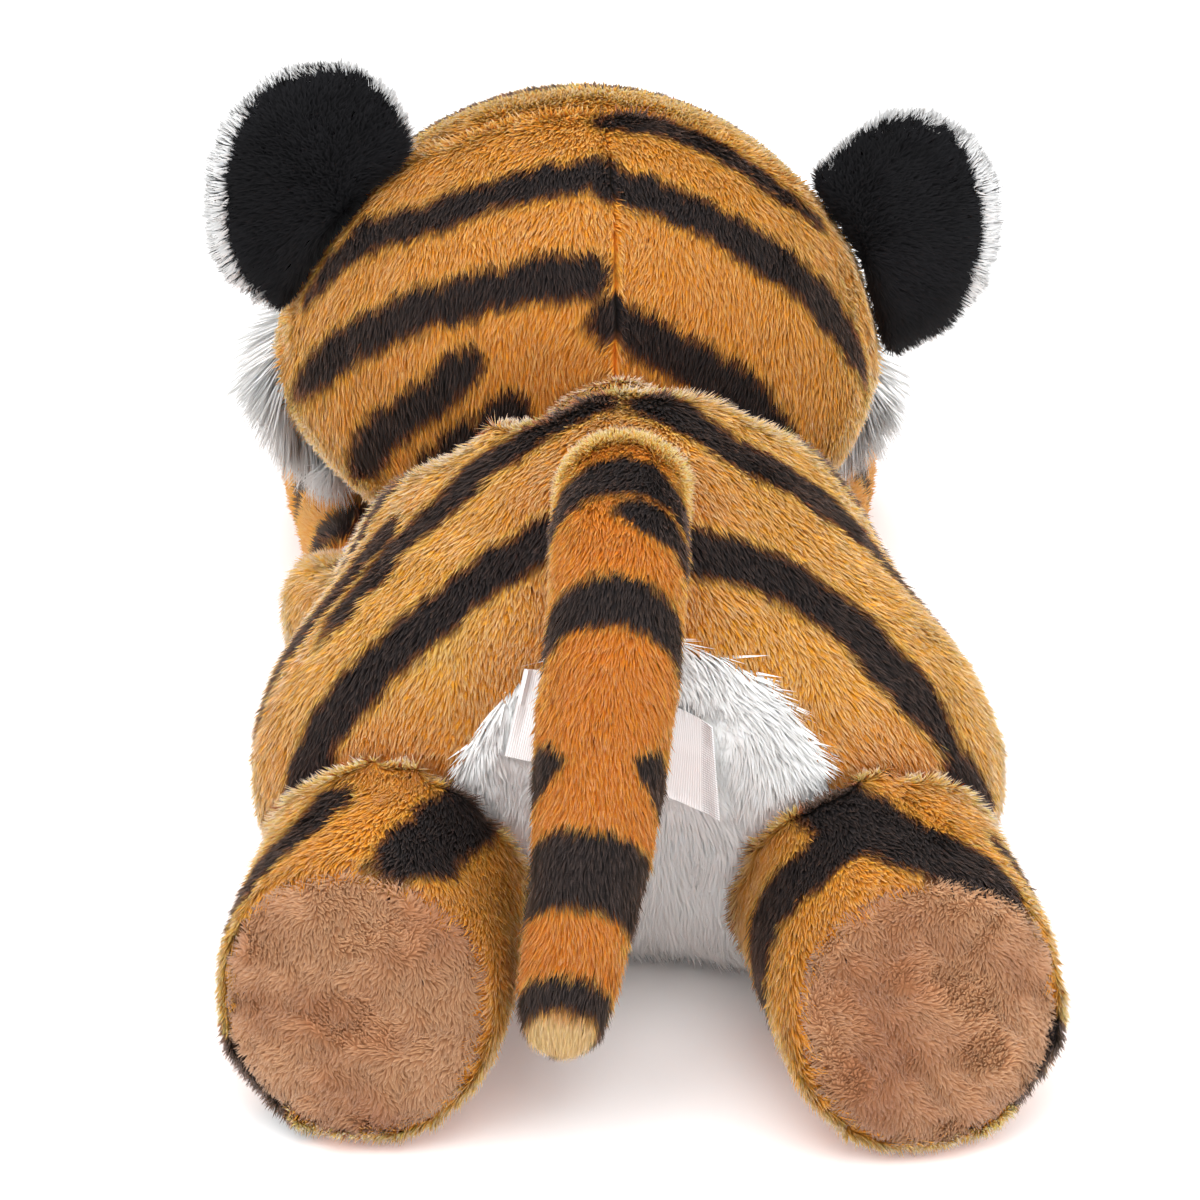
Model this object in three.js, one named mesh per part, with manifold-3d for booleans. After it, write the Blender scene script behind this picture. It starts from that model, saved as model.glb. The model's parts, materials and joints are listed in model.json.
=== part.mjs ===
import * as THREE from 'three';
import { mergeVertices } from 'three/addons/utils/BufferGeometryUtils.js';
import Module from 'manifold-3d';

const wasm = await Module();
wasm.setup();

// A stuffed tiger that lies on its belly: sewn plush covers over fibre filling, with pellet pouches
// where it should sag. Millimetres. +Z is up, the face looks towards -Y, the toy's left is +X.
// The origin is the middle of the belly's flat resting face.

// Cloth, seams and clearances
const plush = 5;              // backing and pile of a cover
const seamGap = 0.3;          // between two panels sewn edge to edge
const fillGap = 0.4;          // between a cover and what fills it
const seatGap = 0.9;          // between a limb or the head and what it swings against
const neckGap = 1.25;         // the same round the neck, where the head turns
const pressed = 0.5;          // how far the floor flattens the underside
const sag = 12;               // how much deeper the body would hang without the floor
const sagBlend = 12;          // how softly the underside rounds into the floor
const creaseBlend = 5;        // how softly a cover gives way to what is pressed into it

// Body
const chestWidth = 120;
const chestHeight = 103;
const chestDepth = 92;
const chestY = -16;
const bellyWidth = 140;
const bellyHeight = 118;
const bellyDepth = 120;
const bellyY = 17;
const rumpWidth = 148;
const rumpHeight = 108;
const rumpDepth = 104;
const rumpY = 49;
const rumpX = 3;               // the rump lies a little to the toy's left too
const bodyBlend = 16;
const lean = 5;               // how far the chest lies towards the toy's left
const haunchRadius = 47;
const hipSpread = 46;
const hipY = 64;
const hipHeight = 43;
const pelvisTwist = 4;        // the right hip lies this far behind the middle, the left before it
const shoulderRadius = 31;
const shoulderSpread = 51;
const shoulderShift = 4;      // the shoulders lie further to the left than the spine
const shoulderY = -24;
const shoulderHeight = 33;
const forelegHeight = 24;     // where a foreleg leaves the shoulder
const bellySeamHeight = 15;
const patchWidth = 94;        // white patch between the hind legs
const patchTop = 97;
const patchDepth = 120;
const bellyPouchWidth = 56;
const bellyPouchLength = 64;
const bellyPouchHeight = 28;

// Neck: where the head turns and nods
const neckY = -14;
const neckHeight = 92;
const cordRadius = 1;         // cord drawn round the neck
const cordRing = 17;

// Head, measured from its own centre
const headWidth = 153;
const headDepth = 138;
const headRise = 76;
const headDrop = 46;
const headAhead = 56;         // the head's centre before the neck
const headBelow = 14;
const headRoll = 4.5;
const headYaw = 4;
const headBlend = 14;
const cheekRadius = 31;
const cheekSpread = 48;
const cheekAhead = 16;
const cheekLow = 5;
const chinRadius = 20;
const chinAhead = 44;
const chinLow = 25;
const crownSeam = -4;         // seam from ear to ear
const foreheadSeam = -3;
const blazeWidth = 30;
const blazeDrop = 14;
const chinWidth = 52;
const muzzleWidth = 56;
const muzzleHeight = 33;
const muzzleReach = 17;
const muzzleLow = 20;
const noseWidth = 17;
const noseHeight = 12;
const noseDepth = 9;
const eyeRadius = 6.5;
const eyeSpread = 26;
const eyeHeight = 12;
const shankRadius = 1.8;
const shankLength = 13;
const washerRadius = 8;
const washerThick = 1.6;

// Ears
const earWidth = 67;
const earHeight = 43;
const earThick = 12;
const earDish = 5;            // how deep the front of an ear is hollowed
const earAngle = 61;          // degrees from straight up to the ear's root
const earLean = 17;           // degrees the ear's tip leans back up
const earShift = 4;           // degrees both ears are set round towards the right
const earY = 0;

// Legs
const hindReach = 91;         // hip to sole
const hindRadius = 33;
const footRadius = 35;
const footSole = 30.5;
const footTilt = 15;
const hindSplayLeft = 13;
const hindSplayRight = 13;
const frontReach = 122;
const frontRadius = 20;
const pawRadius = 24;
const pawSole = 18.5;
const pawTilt = -12;
const frontSplay = 5;
const soleThick = 4;
const soleCrown = 4;
const footPouch = 26;         // length of the pellet pouch behind a sole

// Tail: its route from the root on the rump, towards the left, back and up
const tailRadius = 17.5;
const tailTipRadius = 12;
const tailRootX = 1;
const tailRootY = 30;
const tailRootHeight = 94;
const moundRadius = 21;
const tailRoute = [[0, 0, 0], [2, 18, 19], [4, 38, 26], [5, 60, 18], [10, 88, -6], [14, 108, -30], [22, 130, -65]];

// Sewn label, bare
const labelWidth = 50;
const labelHeight = 22;
const labelThick = 0.8;
const labelTurn = 13;
const labelX = 7;
const labelY = 102;
const labelLift = 77;
const labelGap = 0.9;         // between the label and the plush it lies on

// How far each sewn joint gives, degrees
const turnRange = [-9, 9];
const nodRange = [0, 12];
const hindRange = [-4, 16];
const frontRange = [-3, 12];
const tailRange = [0, 55];
const earRange = [-16, 16];

const cloth = (color) => new THREE.MeshStandardMaterial({ color, roughness: 0.95, metalness: 0 });
const orange = cloth(0xd9771f);
const white = cloth(0xf2f0ec);
const black = cloth(0x17171b);
const tan = cloth(0xa57650);
const fibre = cloth(0xe9e6df);
const pellets = cloth(0xd8d3c6);
const thread = cloth(0xb4651f);
const satin = new THREE.MeshStandardMaterial({ color: 0xf7f7f7, roughness: 0.5, metalness: 0 });
const glossBlack = new THREE.MeshStandardMaterial({ color: 0x0b0908, roughness: 0.1, metalness: 0 });
const rose = new THREE.MeshStandardMaterial({ color: 0xb5655f, roughness: 0.4, metalness: 0 });
const clearWhite = new THREE.MeshStandardMaterial({ color: 0xe6e6e2, roughness: 0.4, metalness: 0 });

const vector = (x, y, z) => new THREE.Vector3(x, y, z);
const middle = vector(0, 0, 0);
const axisX = vector(1, 0, 0);
const axisY = vector(0, 1, 0);
const axisZ = vector(0, 0, 1);
const far = 400;              // beyond every piece
const inRadians = THREE.MathUtils.degToRad;
const backwards = (range) => range.map((angle) => -angle);

// Solids

// Only places, with shared corners merged
function bareMesh(geometry) {
  const bare = geometry.clone();
  for (const name of Object.keys(bare.attributes)) {
    if (name !== 'position') bare.deleteAttribute(name);
  }
  return mergeVertices(bare, 1e-4);
}

function solidOf(geometry) {
  const merged = bareMesh(geometry);
  const vertProperties = new Float32Array(merged.attributes.position.array);
  const triVerts = new Uint32Array(merged.index.array);
  return new wasm.Manifold(new wasm.Mesh({ numProp: 3, vertProperties, triVerts }));
}

function geometryOf(solid) {
  const mesh = solid.getMesh();
  const geometry = new THREE.BufferGeometry();
  geometry.setAttribute('position', new THREE.BufferAttribute(new Float32Array(mesh.vertProperties), 3));
  geometry.setIndex(new THREE.BufferAttribute(new Uint32Array(mesh.triVerts), 1));
  return geometry;
}

// The largest body of a cut, without the crumbs that a cut leaves beside it
function mainBody(solid) {
  return solid.decompose().reduce((best, next) => (next.volume() > best.volume() ? next : best));
}

function box(lowX, lowY, lowZ, highX, highY, highZ) {
  const geometry = new THREE.BoxGeometry(highX - lowX, highY - lowY, highZ - lowZ);
  geometry.translate((lowX + highX) / 2, (lowY + highY) / 2, (lowZ + highZ) / 2);
  return solidOf(geometry);
}

function rod(from, to, radius, sides = 12) {
  const along = to.clone().sub(from);
  const geometry = new THREE.CylinderGeometry(radius, radius, along.length(), sides);
  geometry.applyQuaternion(new THREE.Quaternion().setFromUnitVectors(axisY, along.normalize()));
  geometry.translate((from.x + to.x) / 2, (from.y + to.y) / 2, (from.z + to.z) / 2);
  return solidOf(geometry);
}

const group = new THREE.Group();

function addPiece(name, solid, material) {
  const mesh = new THREE.Mesh(geometryOf(mainBody(solid)), material);
  mesh.name = name;
  group.add(mesh);
}

// Fields: the distance to a soft form, negative inside it

// The lower half may be shallower than the upper
const ellipsoid = (at, rx, ry, rise, drop = rise) => (p) => {
  const rz = p.z > at.z ? rise : drop;
  const ax = (p.x - at.x) / rx;
  const ay = (p.y - at.y) / ry;
  const az = (p.z - at.z) / rz;
  const near = Math.hypot(ax, ay, az);
  const slope = Math.hypot(ax / rx, ay / ry, az / rz);
  return slope < 1e-9 ? -Math.min(rx, ry, rz) : (near * (near - 1)) / slope;
};

const ball = (centre, radius) => (p) => p.distanceTo(centre) - radius;

function softMin(a, b, k) {
  const h = Math.max(k - Math.abs(a - b), 0) / k;
  return Math.min(a, b) - (h * h * k) / 4;
}

const joined = (k, ...forms) => (p) => forms.reduce((d, form) => softMin(d, form(p), k), far);
const madeWayFor = (form, other, gap) => (p) => -softMin(-form(p), other(p) - gap, creaseBlend);

// A form that sags on the floor, which presses it flat
const laidDown = (form) => (p) => -softMin(-form(p), p.z + pressed, sagBlend);

// All that a form passes through while it turns about an axis
function swept(form, pivot, axis, range, steps = 4) {
  const turns = Array.from({ length: steps + 1 }, (_, i) =>
    new THREE.Quaternion().setFromAxisAngle(axis, -inRadians(THREE.MathUtils.lerp(...range, i / steps))));
  const spot = vector(0, 0, 0);
  return (p) => turns.reduce((nearest, turn) =>
    Math.min(nearest, form(spot.copy(p).sub(pivot).applyQuaternion(turn).add(pivot))), Infinity);
}

// The first place where a ray leaves a form, as a share of the ray
function leaves(form, from, ray, inset = 0) {
  const spot = vector(0, 0, 0);
  const inside = (share) => form(spot.copy(ray).multiplyScalar(share).add(from)) + inset < 0;
  const stride = 0.06;
  let outer = stride;
  while (outer < 2.5 && inside(outer)) outer += stride;
  let inner = outer - stride;
  for (let step = 0; step < 12; step++) {
    const half = (inner + outer) / 2;
    if (inside(half)) inner = half;
    else outer = half;
  }
  return inner;
}

// A ball of triangles pulled in or out along its rays until it lies on the form
function wrap(form, centre, reach, detail, inset = 0) {
  const geometry = bareMesh(new THREE.IcosahedronGeometry(1, detail));
  const position = geometry.attributes.position;
  const ray = vector(0, 0, 0);
  for (let i = 0; i < position.count; i++) {
    ray.fromBufferAttribute(position, i).multiply(reach);
    ray.multiplyScalar(leaves(form, centre, ray, inset)).add(centre);
    position.setXYZ(i, ray.x, ray.y, ray.z);
  }
  return solidOf(geometry);
}

const above = box(-far, -far, 0, far, far, far);
const aboveCover = box(-far, -far, plush + fillGap, far, far, far);

// The spine's sideways lean at a station along it
const leanAt = (y) => THREE.MathUtils.lerp(rumpX, lean, THREE.MathUtils.smoothstep(rumpY - y, 0, rumpY - neckY));

const hips = [1, -1].map((side) => vector(rumpX + side * hipSpread, hipY - side * pelvisTwist, hipHeight));
const shoulders = [1, -1].map((side) =>
  vector(side * shoulderSpread + leanAt(shoulderY) + shoulderShift, shoulderY, shoulderHeight));
const forelegRoots = shoulders.map((shoulder) => vector(shoulder.x, shoulder.y, forelegHeight));
const neck = vector(leanAt(neckY), neckY, neckHeight);
const tailRoot = vector(tailRootX, tailRootY, tailRootHeight);

// Head: made round its own centre, then turned and set on the neck

const headForm = joined(
  headBlend,
  ellipsoid(middle, headWidth / 2, headDepth / 2, headRise, headDrop),
  ellipsoid(vector(cheekSpread, -cheekAhead, -cheekLow), cheekRadius, cheekRadius, cheekRadius * 0.85),
  ellipsoid(vector(-cheekSpread, -cheekAhead, -cheekLow), cheekRadius, cheekRadius, cheekRadius * 0.85),
  ellipsoid(vector(0, -chinAhead, -chinLow), chinRadius * 1.1, chinRadius, chinRadius * 0.8),
);
const headReach = vector(headWidth / 2, headDepth / 2, (headRise + headDrop) / 2);
const onHead = (direction) => direction.clone().multiplyScalar(leaves(headForm, middle, direction));
const wrapHead = (detail, inset) => wrap(headForm, middle, headReach, detail, inset);

const headMatrix = new THREE.Matrix4().makeTranslation(neck)
  .multiply(new THREE.Matrix4().makeRotationY(-inRadians(headRoll)))
  .multiply(new THREE.Matrix4().makeRotationZ(inRadians(headYaw)))
  .multiply(new THREE.Matrix4().makeTranslation(0, -headAhead, -headBelow));
const headCentre = middle.clone().applyMatrix4(headMatrix);
const setOnNeck = (solid) => solid.transform(headMatrix.elements);

const face = onHead(vector(0, -headDepth, -muzzleLow * 2));
const muzzleLobe = (side) => ellipsoid(vector((side * muzzleWidth) / 4.6, face.y, face.z),
  muzzleWidth / 3.4, muzzleReach, muzzleHeight / 2);
const muzzleForm = joined(10, muzzleLobe(1), muzzleLobe(-1));

// The head as it stands on the neck, and all that it passes through
const headOff = headMatrix.clone().invert();
const headSpot = vector(0, 0, 0);
function headOnNeck(p) {
  headSpot.copy(p).applyMatrix4(headOff);
  return Math.min(headForm(headSpot), muzzleForm(headSpot));
}
const nodPath = swept(headOnNeck, neck, vector(-1, 0, 0), nodRange);
const headPath = swept(nodPath, neck, axisZ, turnRange);

// Neck: a drawn cord between the head and the body's closed front

const neckOut = neck.clone().sub(headCentre).normalize();
const cordSide = new THREE.Vector3().crossVectors(neckOut, axisX).normalize();
const cordSpots = Array.from({ length: 24 }, (_, i) => {
  const from = neck.clone().addScaledVector(cordSide.clone().applyAxisAngle(neckOut, (i / 24) * Math.PI * 2), cordRing);
  return from.addScaledVector(neckOut, headDepth * leaves(nodPath, from, neckOut.clone().multiplyScalar(headDepth),
    -seatGap - cordRadius));
});
const cordCurve = new THREE.CatmullRomCurve3(cordSpots, true);
addPiece('neck_gathering_cord', solidOf(new THREE.TubeGeometry(cordCurve, 24, cordRadius, 6, true)), thread);
const cordCentre = cordSpots.reduce((sum, spot) => sum.add(spot), vector(0, 0, 0)).divideScalar(24);
const cordRoom = ball(cordCentre, cordRing + 8);
const neckRoom = (p) => Math.min(headPath(p),
  Math.max(headPath(p) - 2 * cordRadius - seatGap, cordRoom(p)));

// Body

const trunk = (x, y, width, depth, height) =>
  ellipsoid(vector(x, y, (height - sag) / 2), width / 2, depth / 2, (height + sag) / 2);
const bodyForm = joined(
  bodyBlend,
  trunk(leanAt(chestY), chestY, chestWidth, chestDepth, chestHeight),
  trunk(leanAt(bellyY), bellyY, bellyWidth, bellyDepth, bellyHeight),
  trunk(rumpX, rumpY, rumpWidth, rumpDepth, rumpHeight),
  ball(hips[0], haunchRadius),
  ball(hips[1], haunchRadius),
  ball(shoulders[0], shoulderRadius),
  ball(shoulders[1], shoulderRadius),
  ball(tailRoot, moundRadius),
);
const bodyLaid = laidDown(madeWayFor(bodyForm, neckRoom, neckGap));
const bodyMiddle = vector(lean / 2, bellyY - 9, bellyHeight * 0.47);
const bodyReach = vector(bellyWidth / 2, bellyDepth * 0.75, bellyHeight / 2);
const wrapBody = (detail, inset) => wrap(bodyLaid, bodyMiddle, bodyReach, detail, inset);

// What the body takes from a piece that swings on it about a pivot
const bodyTakes = (pivot, axis, range) =>
  wrap(swept(bodyForm, pivot, axis, backwards(range)), bodyMiddle, bodyReach, 8, -seatGap);

const patchMiddle = vector(tailRootX, rumpY + rumpDepth / 2, patchTop - patchWidth / 2);
const patchReach = vector(patchWidth / 2, patchDepth / 2, patchWidth / 2);
const patchForm = ellipsoid(patchMiddle, patchReach.x, patchReach.y, patchReach.z);
const bellyPart = (grow) => wrap(patchForm, patchMiddle, patchReach, 3, -grow)
  .add(box(-far, -far, -far, far, far, bellySeamHeight + grow));

// All to the left of the spine, along its curve
function leftOfSpine(shift) {
  const outline = new THREE.Shape();
  outline.moveTo(far, -far);
  for (let y = neckY - 40; y <= rumpY + 20; y += 20) outline.lineTo(leanAt(y) + shift, y);
  outline.lineTo(shift, far);
  outline.lineTo(far, far);
  const geometry = new THREE.ExtrudeGeometry(outline, { depth: far, bevelEnabled: false });
  return solidOf(geometry);
}

const bodyShell = wrapBody(6, 0).intersect(above).subtract(wrapBody(4, plush));
const upperShell = bodyShell.subtract(bellyPart(seamGap));
addPiece('back_panel_left', upperShell.intersect(leftOfSpine(seamGap / 2)), orange);
addPiece('back_panel_right', upperShell.subtract(leftOfSpine(-seamGap / 2)), orange);
addPiece('belly_panel', bodyShell.intersect(bellyPart(0)), white);

const pouchMiddle = vector(0, bellyY + 8, plush + fillGap + bellyPouchHeight * 0.35);
const pouchReach = vector(bellyPouchWidth / 2, bellyPouchLength / 2, bellyPouchHeight * 0.65);
const pouchForm = ellipsoid(pouchMiddle, pouchReach.x, pouchReach.y, pouchReach.z);
const bellyPouch = wrap(pouchForm, pouchMiddle, pouchReach, 3).intersect(aboveCover);
const pouchRoom = wrap(pouchForm, pouchMiddle, pouchReach, 3, -fillGap);
addPiece('body_filling', wrapBody(4, plush + fillGap).intersect(aboveCover).subtract(pouchRoom), fibre);
addPiece('belly_pellet_pouch', bellyPouch, pellets);

// Plastic eyes: a dome with a shank that passes through the cover, and a washer pushed on inside

const eyeSeats = [1, -1].map((side) => {
  const direction = vector(side * eyeSpread, -headDepth / 2, eyeHeight).normalize();
  return { direction, point: onHead(direction.clone().multiplyScalar(headDepth / 2)) };
});
function onSeat(geometry, seat, offset) {
  const placed = geometry.clone();
  placed.applyQuaternion(new THREE.Quaternion().setFromUnitVectors(axisY, seat.direction));
  placed.translate(...seat.point.clone().addScaledVector(seat.direction, offset));
  return solidOf(placed);
}
const lathe = (points, sides) => new THREE.LatheGeometry(points.map(([r, y]) => new THREE.Vector2(r, y)), sides);
const sunk = 1.5;             // how far an eye presses into the pile
const shankClear = 0.3;
const domeRise = eyeRadius * 0.62;
const domeArc = Array.from({ length: 6 }, (_, i) => [
  i < 5 ? eyeRadius * Math.cos((i / 5) * (Math.PI / 2)) : 0,
  domeRise * Math.sin((i / 5) * (Math.PI / 2)),
]);
const eyeShape = lathe([
  [0, -shankLength], [shankRadius * 0.6, -shankLength], [shankRadius, 1.2 - shankLength], [shankRadius, 0], ...domeArc,
], 12);
const washerBore = shankRadius + shankClear;
const washerShape = lathe([
  [washerBore, 0], [washerBore, -washerThick * 2], [washerRadius * 0.55, -washerThick],
  [washerRadius, -washerThick * 0.5], [washerRadius, 0], [washerBore, 0],
], 12);
function eyeCuts(radius, from, to) {
  return eyeSeats.map((seat) => rod(
    seat.point.clone().addScaledVector(seat.direction, from),
    seat.point.clone().addScaledVector(seat.direction, to), radius));
}
const shankHoles = eyeCuts(washerBore, -shankLength - plush, plush);
const eyeFlats = eyeCuts(eyeRadius + 0.6, -sunk, plush * 2);
const washerPockets = eyeCuts(washerRadius + 0.8, -shankLength - plush, 0);
const cutBy = (solid, cutters) => cutters.reduce((left, cutter) => left.subtract(cutter), solid);

// Head covers, sewn from ear to ear, along the crown and across the brow

const headShell = wrapHead(5, 0).subtract(wrapHead(4, plush));
const beforeCrown = (shift) => box(-far, -far, -far, far, crownSeam + shift, far);
const leftHalf = (shift) => box(shift, -far, -far, far, far, far);
const brow = (grow) => box(-far, -far, foreheadSeam - grow, far, far, far)
  .add(box(-blazeWidth / 2 - grow, -far, foreheadSeam - blazeDrop - grow, blazeWidth / 2 + grow, far, far));
const chinPart = (grow) => box(-chinWidth / 2 - grow, -far, -far, chinWidth / 2 + grow, far, far);
const crown = headShell.subtract(beforeCrown(seamGap / 2));
const faceShell = headShell.intersect(beforeCrown(-seamGap / 2));
const lowerFace = faceShell.subtract(brow(seamGap));
const cheeks = lowerFace.subtract(chinPart(seamGap));
addPiece('head_panel_left', setOnNeck(crown.intersect(leftHalf(seamGap / 2))), orange);
addPiece('head_panel_right', setOnNeck(crown.subtract(leftHalf(-seamGap / 2))), orange);
addPiece('forehead_panel', setOnNeck(cutBy(faceShell.intersect(brow(0)), [...shankHoles, ...eyeFlats])), orange);
addPiece('cheek_left', setOnNeck(cheeks.intersect(leftHalf(0))), white);
addPiece('cheek_right', setOnNeck(cheeks.subtract(leftHalf(0))), white);
addPiece('chin_panel', setOnNeck(lowerFace.intersect(chinPart(0))), white);
addPiece('head_filling', setOnNeck(cutBy(wrapHead(4, plush + fillGap), washerPockets)), fibre);
['left', 'right'].forEach((name, i) => {
  addPiece(`eye_${name}`, setOnNeck(onSeat(eyeShape, eyeSeats[i], shankClear - sunk)), glossBlack);
  addPiece(`eye_washer_${name}`, setOnNeck(onSeat(washerShape, eyeSeats[i], -plush - sunk)), clearWhite);
});

// The muzzle is a small cushion sewn onto the face, and the nose's shank sits in it

const muzzleAt = vector(0, face.y, face.z);
const noseTop = vector(0, -muzzleReach, muzzleHeight * 0.32);
const noseAt = noseTop.clone().multiplyScalar(leaves(muzzleForm, muzzleAt, noseTop)).add(muzzleAt);
const noseForm = joined(
  4,
  ellipsoid(vector(0, noseAt.y, noseAt.z + noseHeight / 8), noseWidth / 2, noseDepth / 2, noseHeight / 3),
  ellipsoid(vector(0, noseAt.y, noseAt.z - noseHeight / 8), noseWidth / 4, noseDepth / 2, noseHeight / 2.6),
);
const noseReach = vector(noseWidth / 2, noseDepth / 2, noseHeight / 2);
const noseBack = (length) => noseAt.clone().add(vector(0, length, -length / 6));
const noseShank = rod(noseAt, noseBack(muzzleReach / 2), shankRadius, 10);
const noseHole = rod(noseAt, noseBack(muzzleReach / 2 + seamGap), washerBore, 10);
const muzzleReaches = vector(muzzleWidth / 2, muzzleReach, muzzleHeight / 2);
const muzzle = wrap(muzzleForm, muzzleAt, muzzleReaches, 4)
  .subtract(wrapHead(5, -seamGap))
  .subtract(wrap(noseForm, noseAt, noseReach, 2, -seamGap))
  .subtract(noseHole);
addPiece('muzzle', setOnNeck(muzzle), white);
addPiece('nose', setOnNeck(wrap(noseForm, noseAt, noseReach, 2).add(noseShank)), rose);

// Ears: a dished back and a furry lining, folded into the side of the head

function makeEar(side, name) {
  const fromUp = (degrees) => vector(side * Math.sin(inRadians(degrees)), 0, Math.cos(inRadians(degrees)));
  const rootAngle = earAngle - side * earShift;
  const outward = fromUp(rootAngle);
  const root = onHead(outward.clone().multiplyScalar(headWidth / 2).setY(earY));
  const along = vector(outward.z, 0, -outward.x);
  const frame = new THREE.Matrix4().makeBasis(along, axisY, fromUp(rootAngle - earLean)).setPosition(root);
  const rise = earHeight * 0.3;
  const plateAt = vector(0, 0, rise);
  const plateReach = vector(earWidth / 2, earThick / 2, earHeight - rise);
  const dishReach = vector(earWidth / 2 - plush * 2, earDish, earHeight - rise - plush * 2);
  const dishAt = vector(0, -earThick / 2, rise + plush / 2);
  const plate = wrap(ellipsoid(plateAt, plateReach.x, plateReach.y, plateReach.z), plateAt, plateReach, 3)
    .subtract(wrap(ellipsoid(dishAt, dishReach.x, dishReach.y, dishReach.z), dishAt, dishReach, 2));
  const lining = box(-far, -far, -far, far, -seamGap / 2, far);
  const backing = box(-far, seamGap / 2, -far, far, far, far);
  const headTakes = wrap(swept(headForm, root, along, backwards(earRange)), middle, headReach, 7, -seatGap);
  const place = (solid) => setOnNeck(solid.transform(frame.elements).subtract(headTakes));
  addPiece(`ear_back_${name}`, place(plate.intersect(backing)), black);
  addPiece(`ear_lining_${name}`, place(plate.intersect(lining)), white);
}
makeEar(1, 'left');
makeEar(-1, 'right');

// Legs: a tube of cover that swells towards the foot, with a sole sewn into its mouth

function makeLeg(name, root, size, pose) {
  const splay = inRadians(pose.splay);
  const heading = vector(Math.sin(splay) * pose.side, Math.cos(splay) * pose.way, 0);
  const end = root.clone().addScaledVector(heading, size.reach);
  end.z = size.endRadius - pressed;
  const along = end.clone().sub(root);
  const spot = vector(0, 0, 0);
  function tube(p) {
    const t = THREE.MathUtils.clamp(spot.copy(p).sub(root).dot(along) / along.lengthSq(), 0, 1.12);
    const swell = THREE.MathUtils.smoothstep(t, 0.25, 0.85);
    const radius = THREE.MathUtils.lerp(size.radius, size.endRadius, swell);
    return spot.copy(root).addScaledVector(along, t).distanceTo(p) - radius;
  }
  const clear = pose.way > 0 ? tube : madeWayFor(tube, swept(headPath, root, axisZ, backwards(pose.range), 2), seatGap);
  const laid = laidDown(clear);

  // Wrapped in line with the leg, then turned into place
  const turned = new THREE.Matrix4().makeRotationFromQuaternion(
    new THREE.Quaternion().setFromUnitVectors(vector(0, pose.way, 0), heading));
  turned.setPosition(root.clone().addScaledVector(along, 0.55));
  const place = vector(0, 0, 0);
  const inLine = (p) => laid(place.copy(p).applyMatrix4(turned));
  const reach = vector(size.endRadius, size.reach * 0.7, size.endRadius);
  const wrapLeg = (detail, inset) => wrap(inLine, middle, reach, detail, inset).transform(turned.elements);

  // Slabs across the leg, square to its tilted sole
  const across = new THREE.Vector3().crossVectors(heading, axisZ);
  const facing = heading.clone().applyAxisAngle(across, inRadians(size.tilt));
  const beyond = (offset, radius = far) => rod(
    end.clone().addScaledVector(facing, offset), end.clone().addScaledVector(facing, offset + far), radius, 20);
  const bodyPart = bodyTakes(root, axisZ, pose.range);

  const tubeOfCover = wrapLeg(4, 0).intersect(above).subtract(wrapLeg(2, plush));
  addPiece(`${name}_cover`,
    tubeOfCover.subtract(beyond(0)).subtract(beyond(-soleThick * 2, size.sole + seamGap)).subtract(bodyPart), orange);

  const crownArc = Array.from({ length: 4 }, (_, i) => [
    i < 3 ? size.sole * Math.cos(((i + 1) / 4) * (Math.PI / 2)) ** 0.6 : 0,
    soleThick + soleCrown * Math.sin(((i + 1) / 4) * (Math.PI / 2)),
  ]);
  const sole = lathe([[0, 0], [size.sole, 0], [size.sole, soleThick], ...crownArc], 20);
  sole.applyQuaternion(new THREE.Quaternion().setFromUnitVectors(axisY, facing));
  sole.translate(...end.clone().addScaledVector(facing, -soleThick));
  addPiece(`${name}_sole`, solidOf(sole).intersect(above), tan);

  const inside = wrapLeg(2, plush + fillGap).intersect(aboveCover).subtract(beyond(-soleThick - fillGap));
  addPiece(`${name}_pellet_pouch`, inside.intersect(beyond(-soleThick - fillGap - footPouch)), pellets);
  addPiece(`${name}_filling`, inside.subtract(beyond(-soleThick - fillGap * 2 - footPouch)).subtract(bodyPart), fibre);
}

const hind = { reach: hindReach, radius: hindRadius, endRadius: footRadius, sole: footSole, tilt: footTilt };
const fore = { reach: frontReach, radius: frontRadius, endRadius: pawRadius, sole: pawSole, tilt: pawTilt };
makeLeg('hind_leg_left', hips[0], hind, { side: 1, way: 1, splay: hindSplayLeft, range: backwards(hindRange) });
makeLeg('hind_leg_right', hips[1], hind, { side: -1, way: 1, splay: hindSplayRight, range: hindRange });
makeLeg('front_leg_left', forelegRoots[0], fore, { side: 1, way: -1, splay: frontSplay, range: frontRange });
makeLeg('front_leg_right', forelegRoots[1], fore,
  { side: -1, way: -1, splay: frontSplay, range: backwards(frontRange) });

// Tail: a stuffed tube that droops from its mound on the rump, with a rounded end

const tailCurve = new THREE.CatmullRomCurve3(
  tailRoute.map(([x, y, z]) => vector(x, y, z).add(tailRoot)), false, 'centripetal');
const tailLength = tailCurve.getLength();

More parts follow.
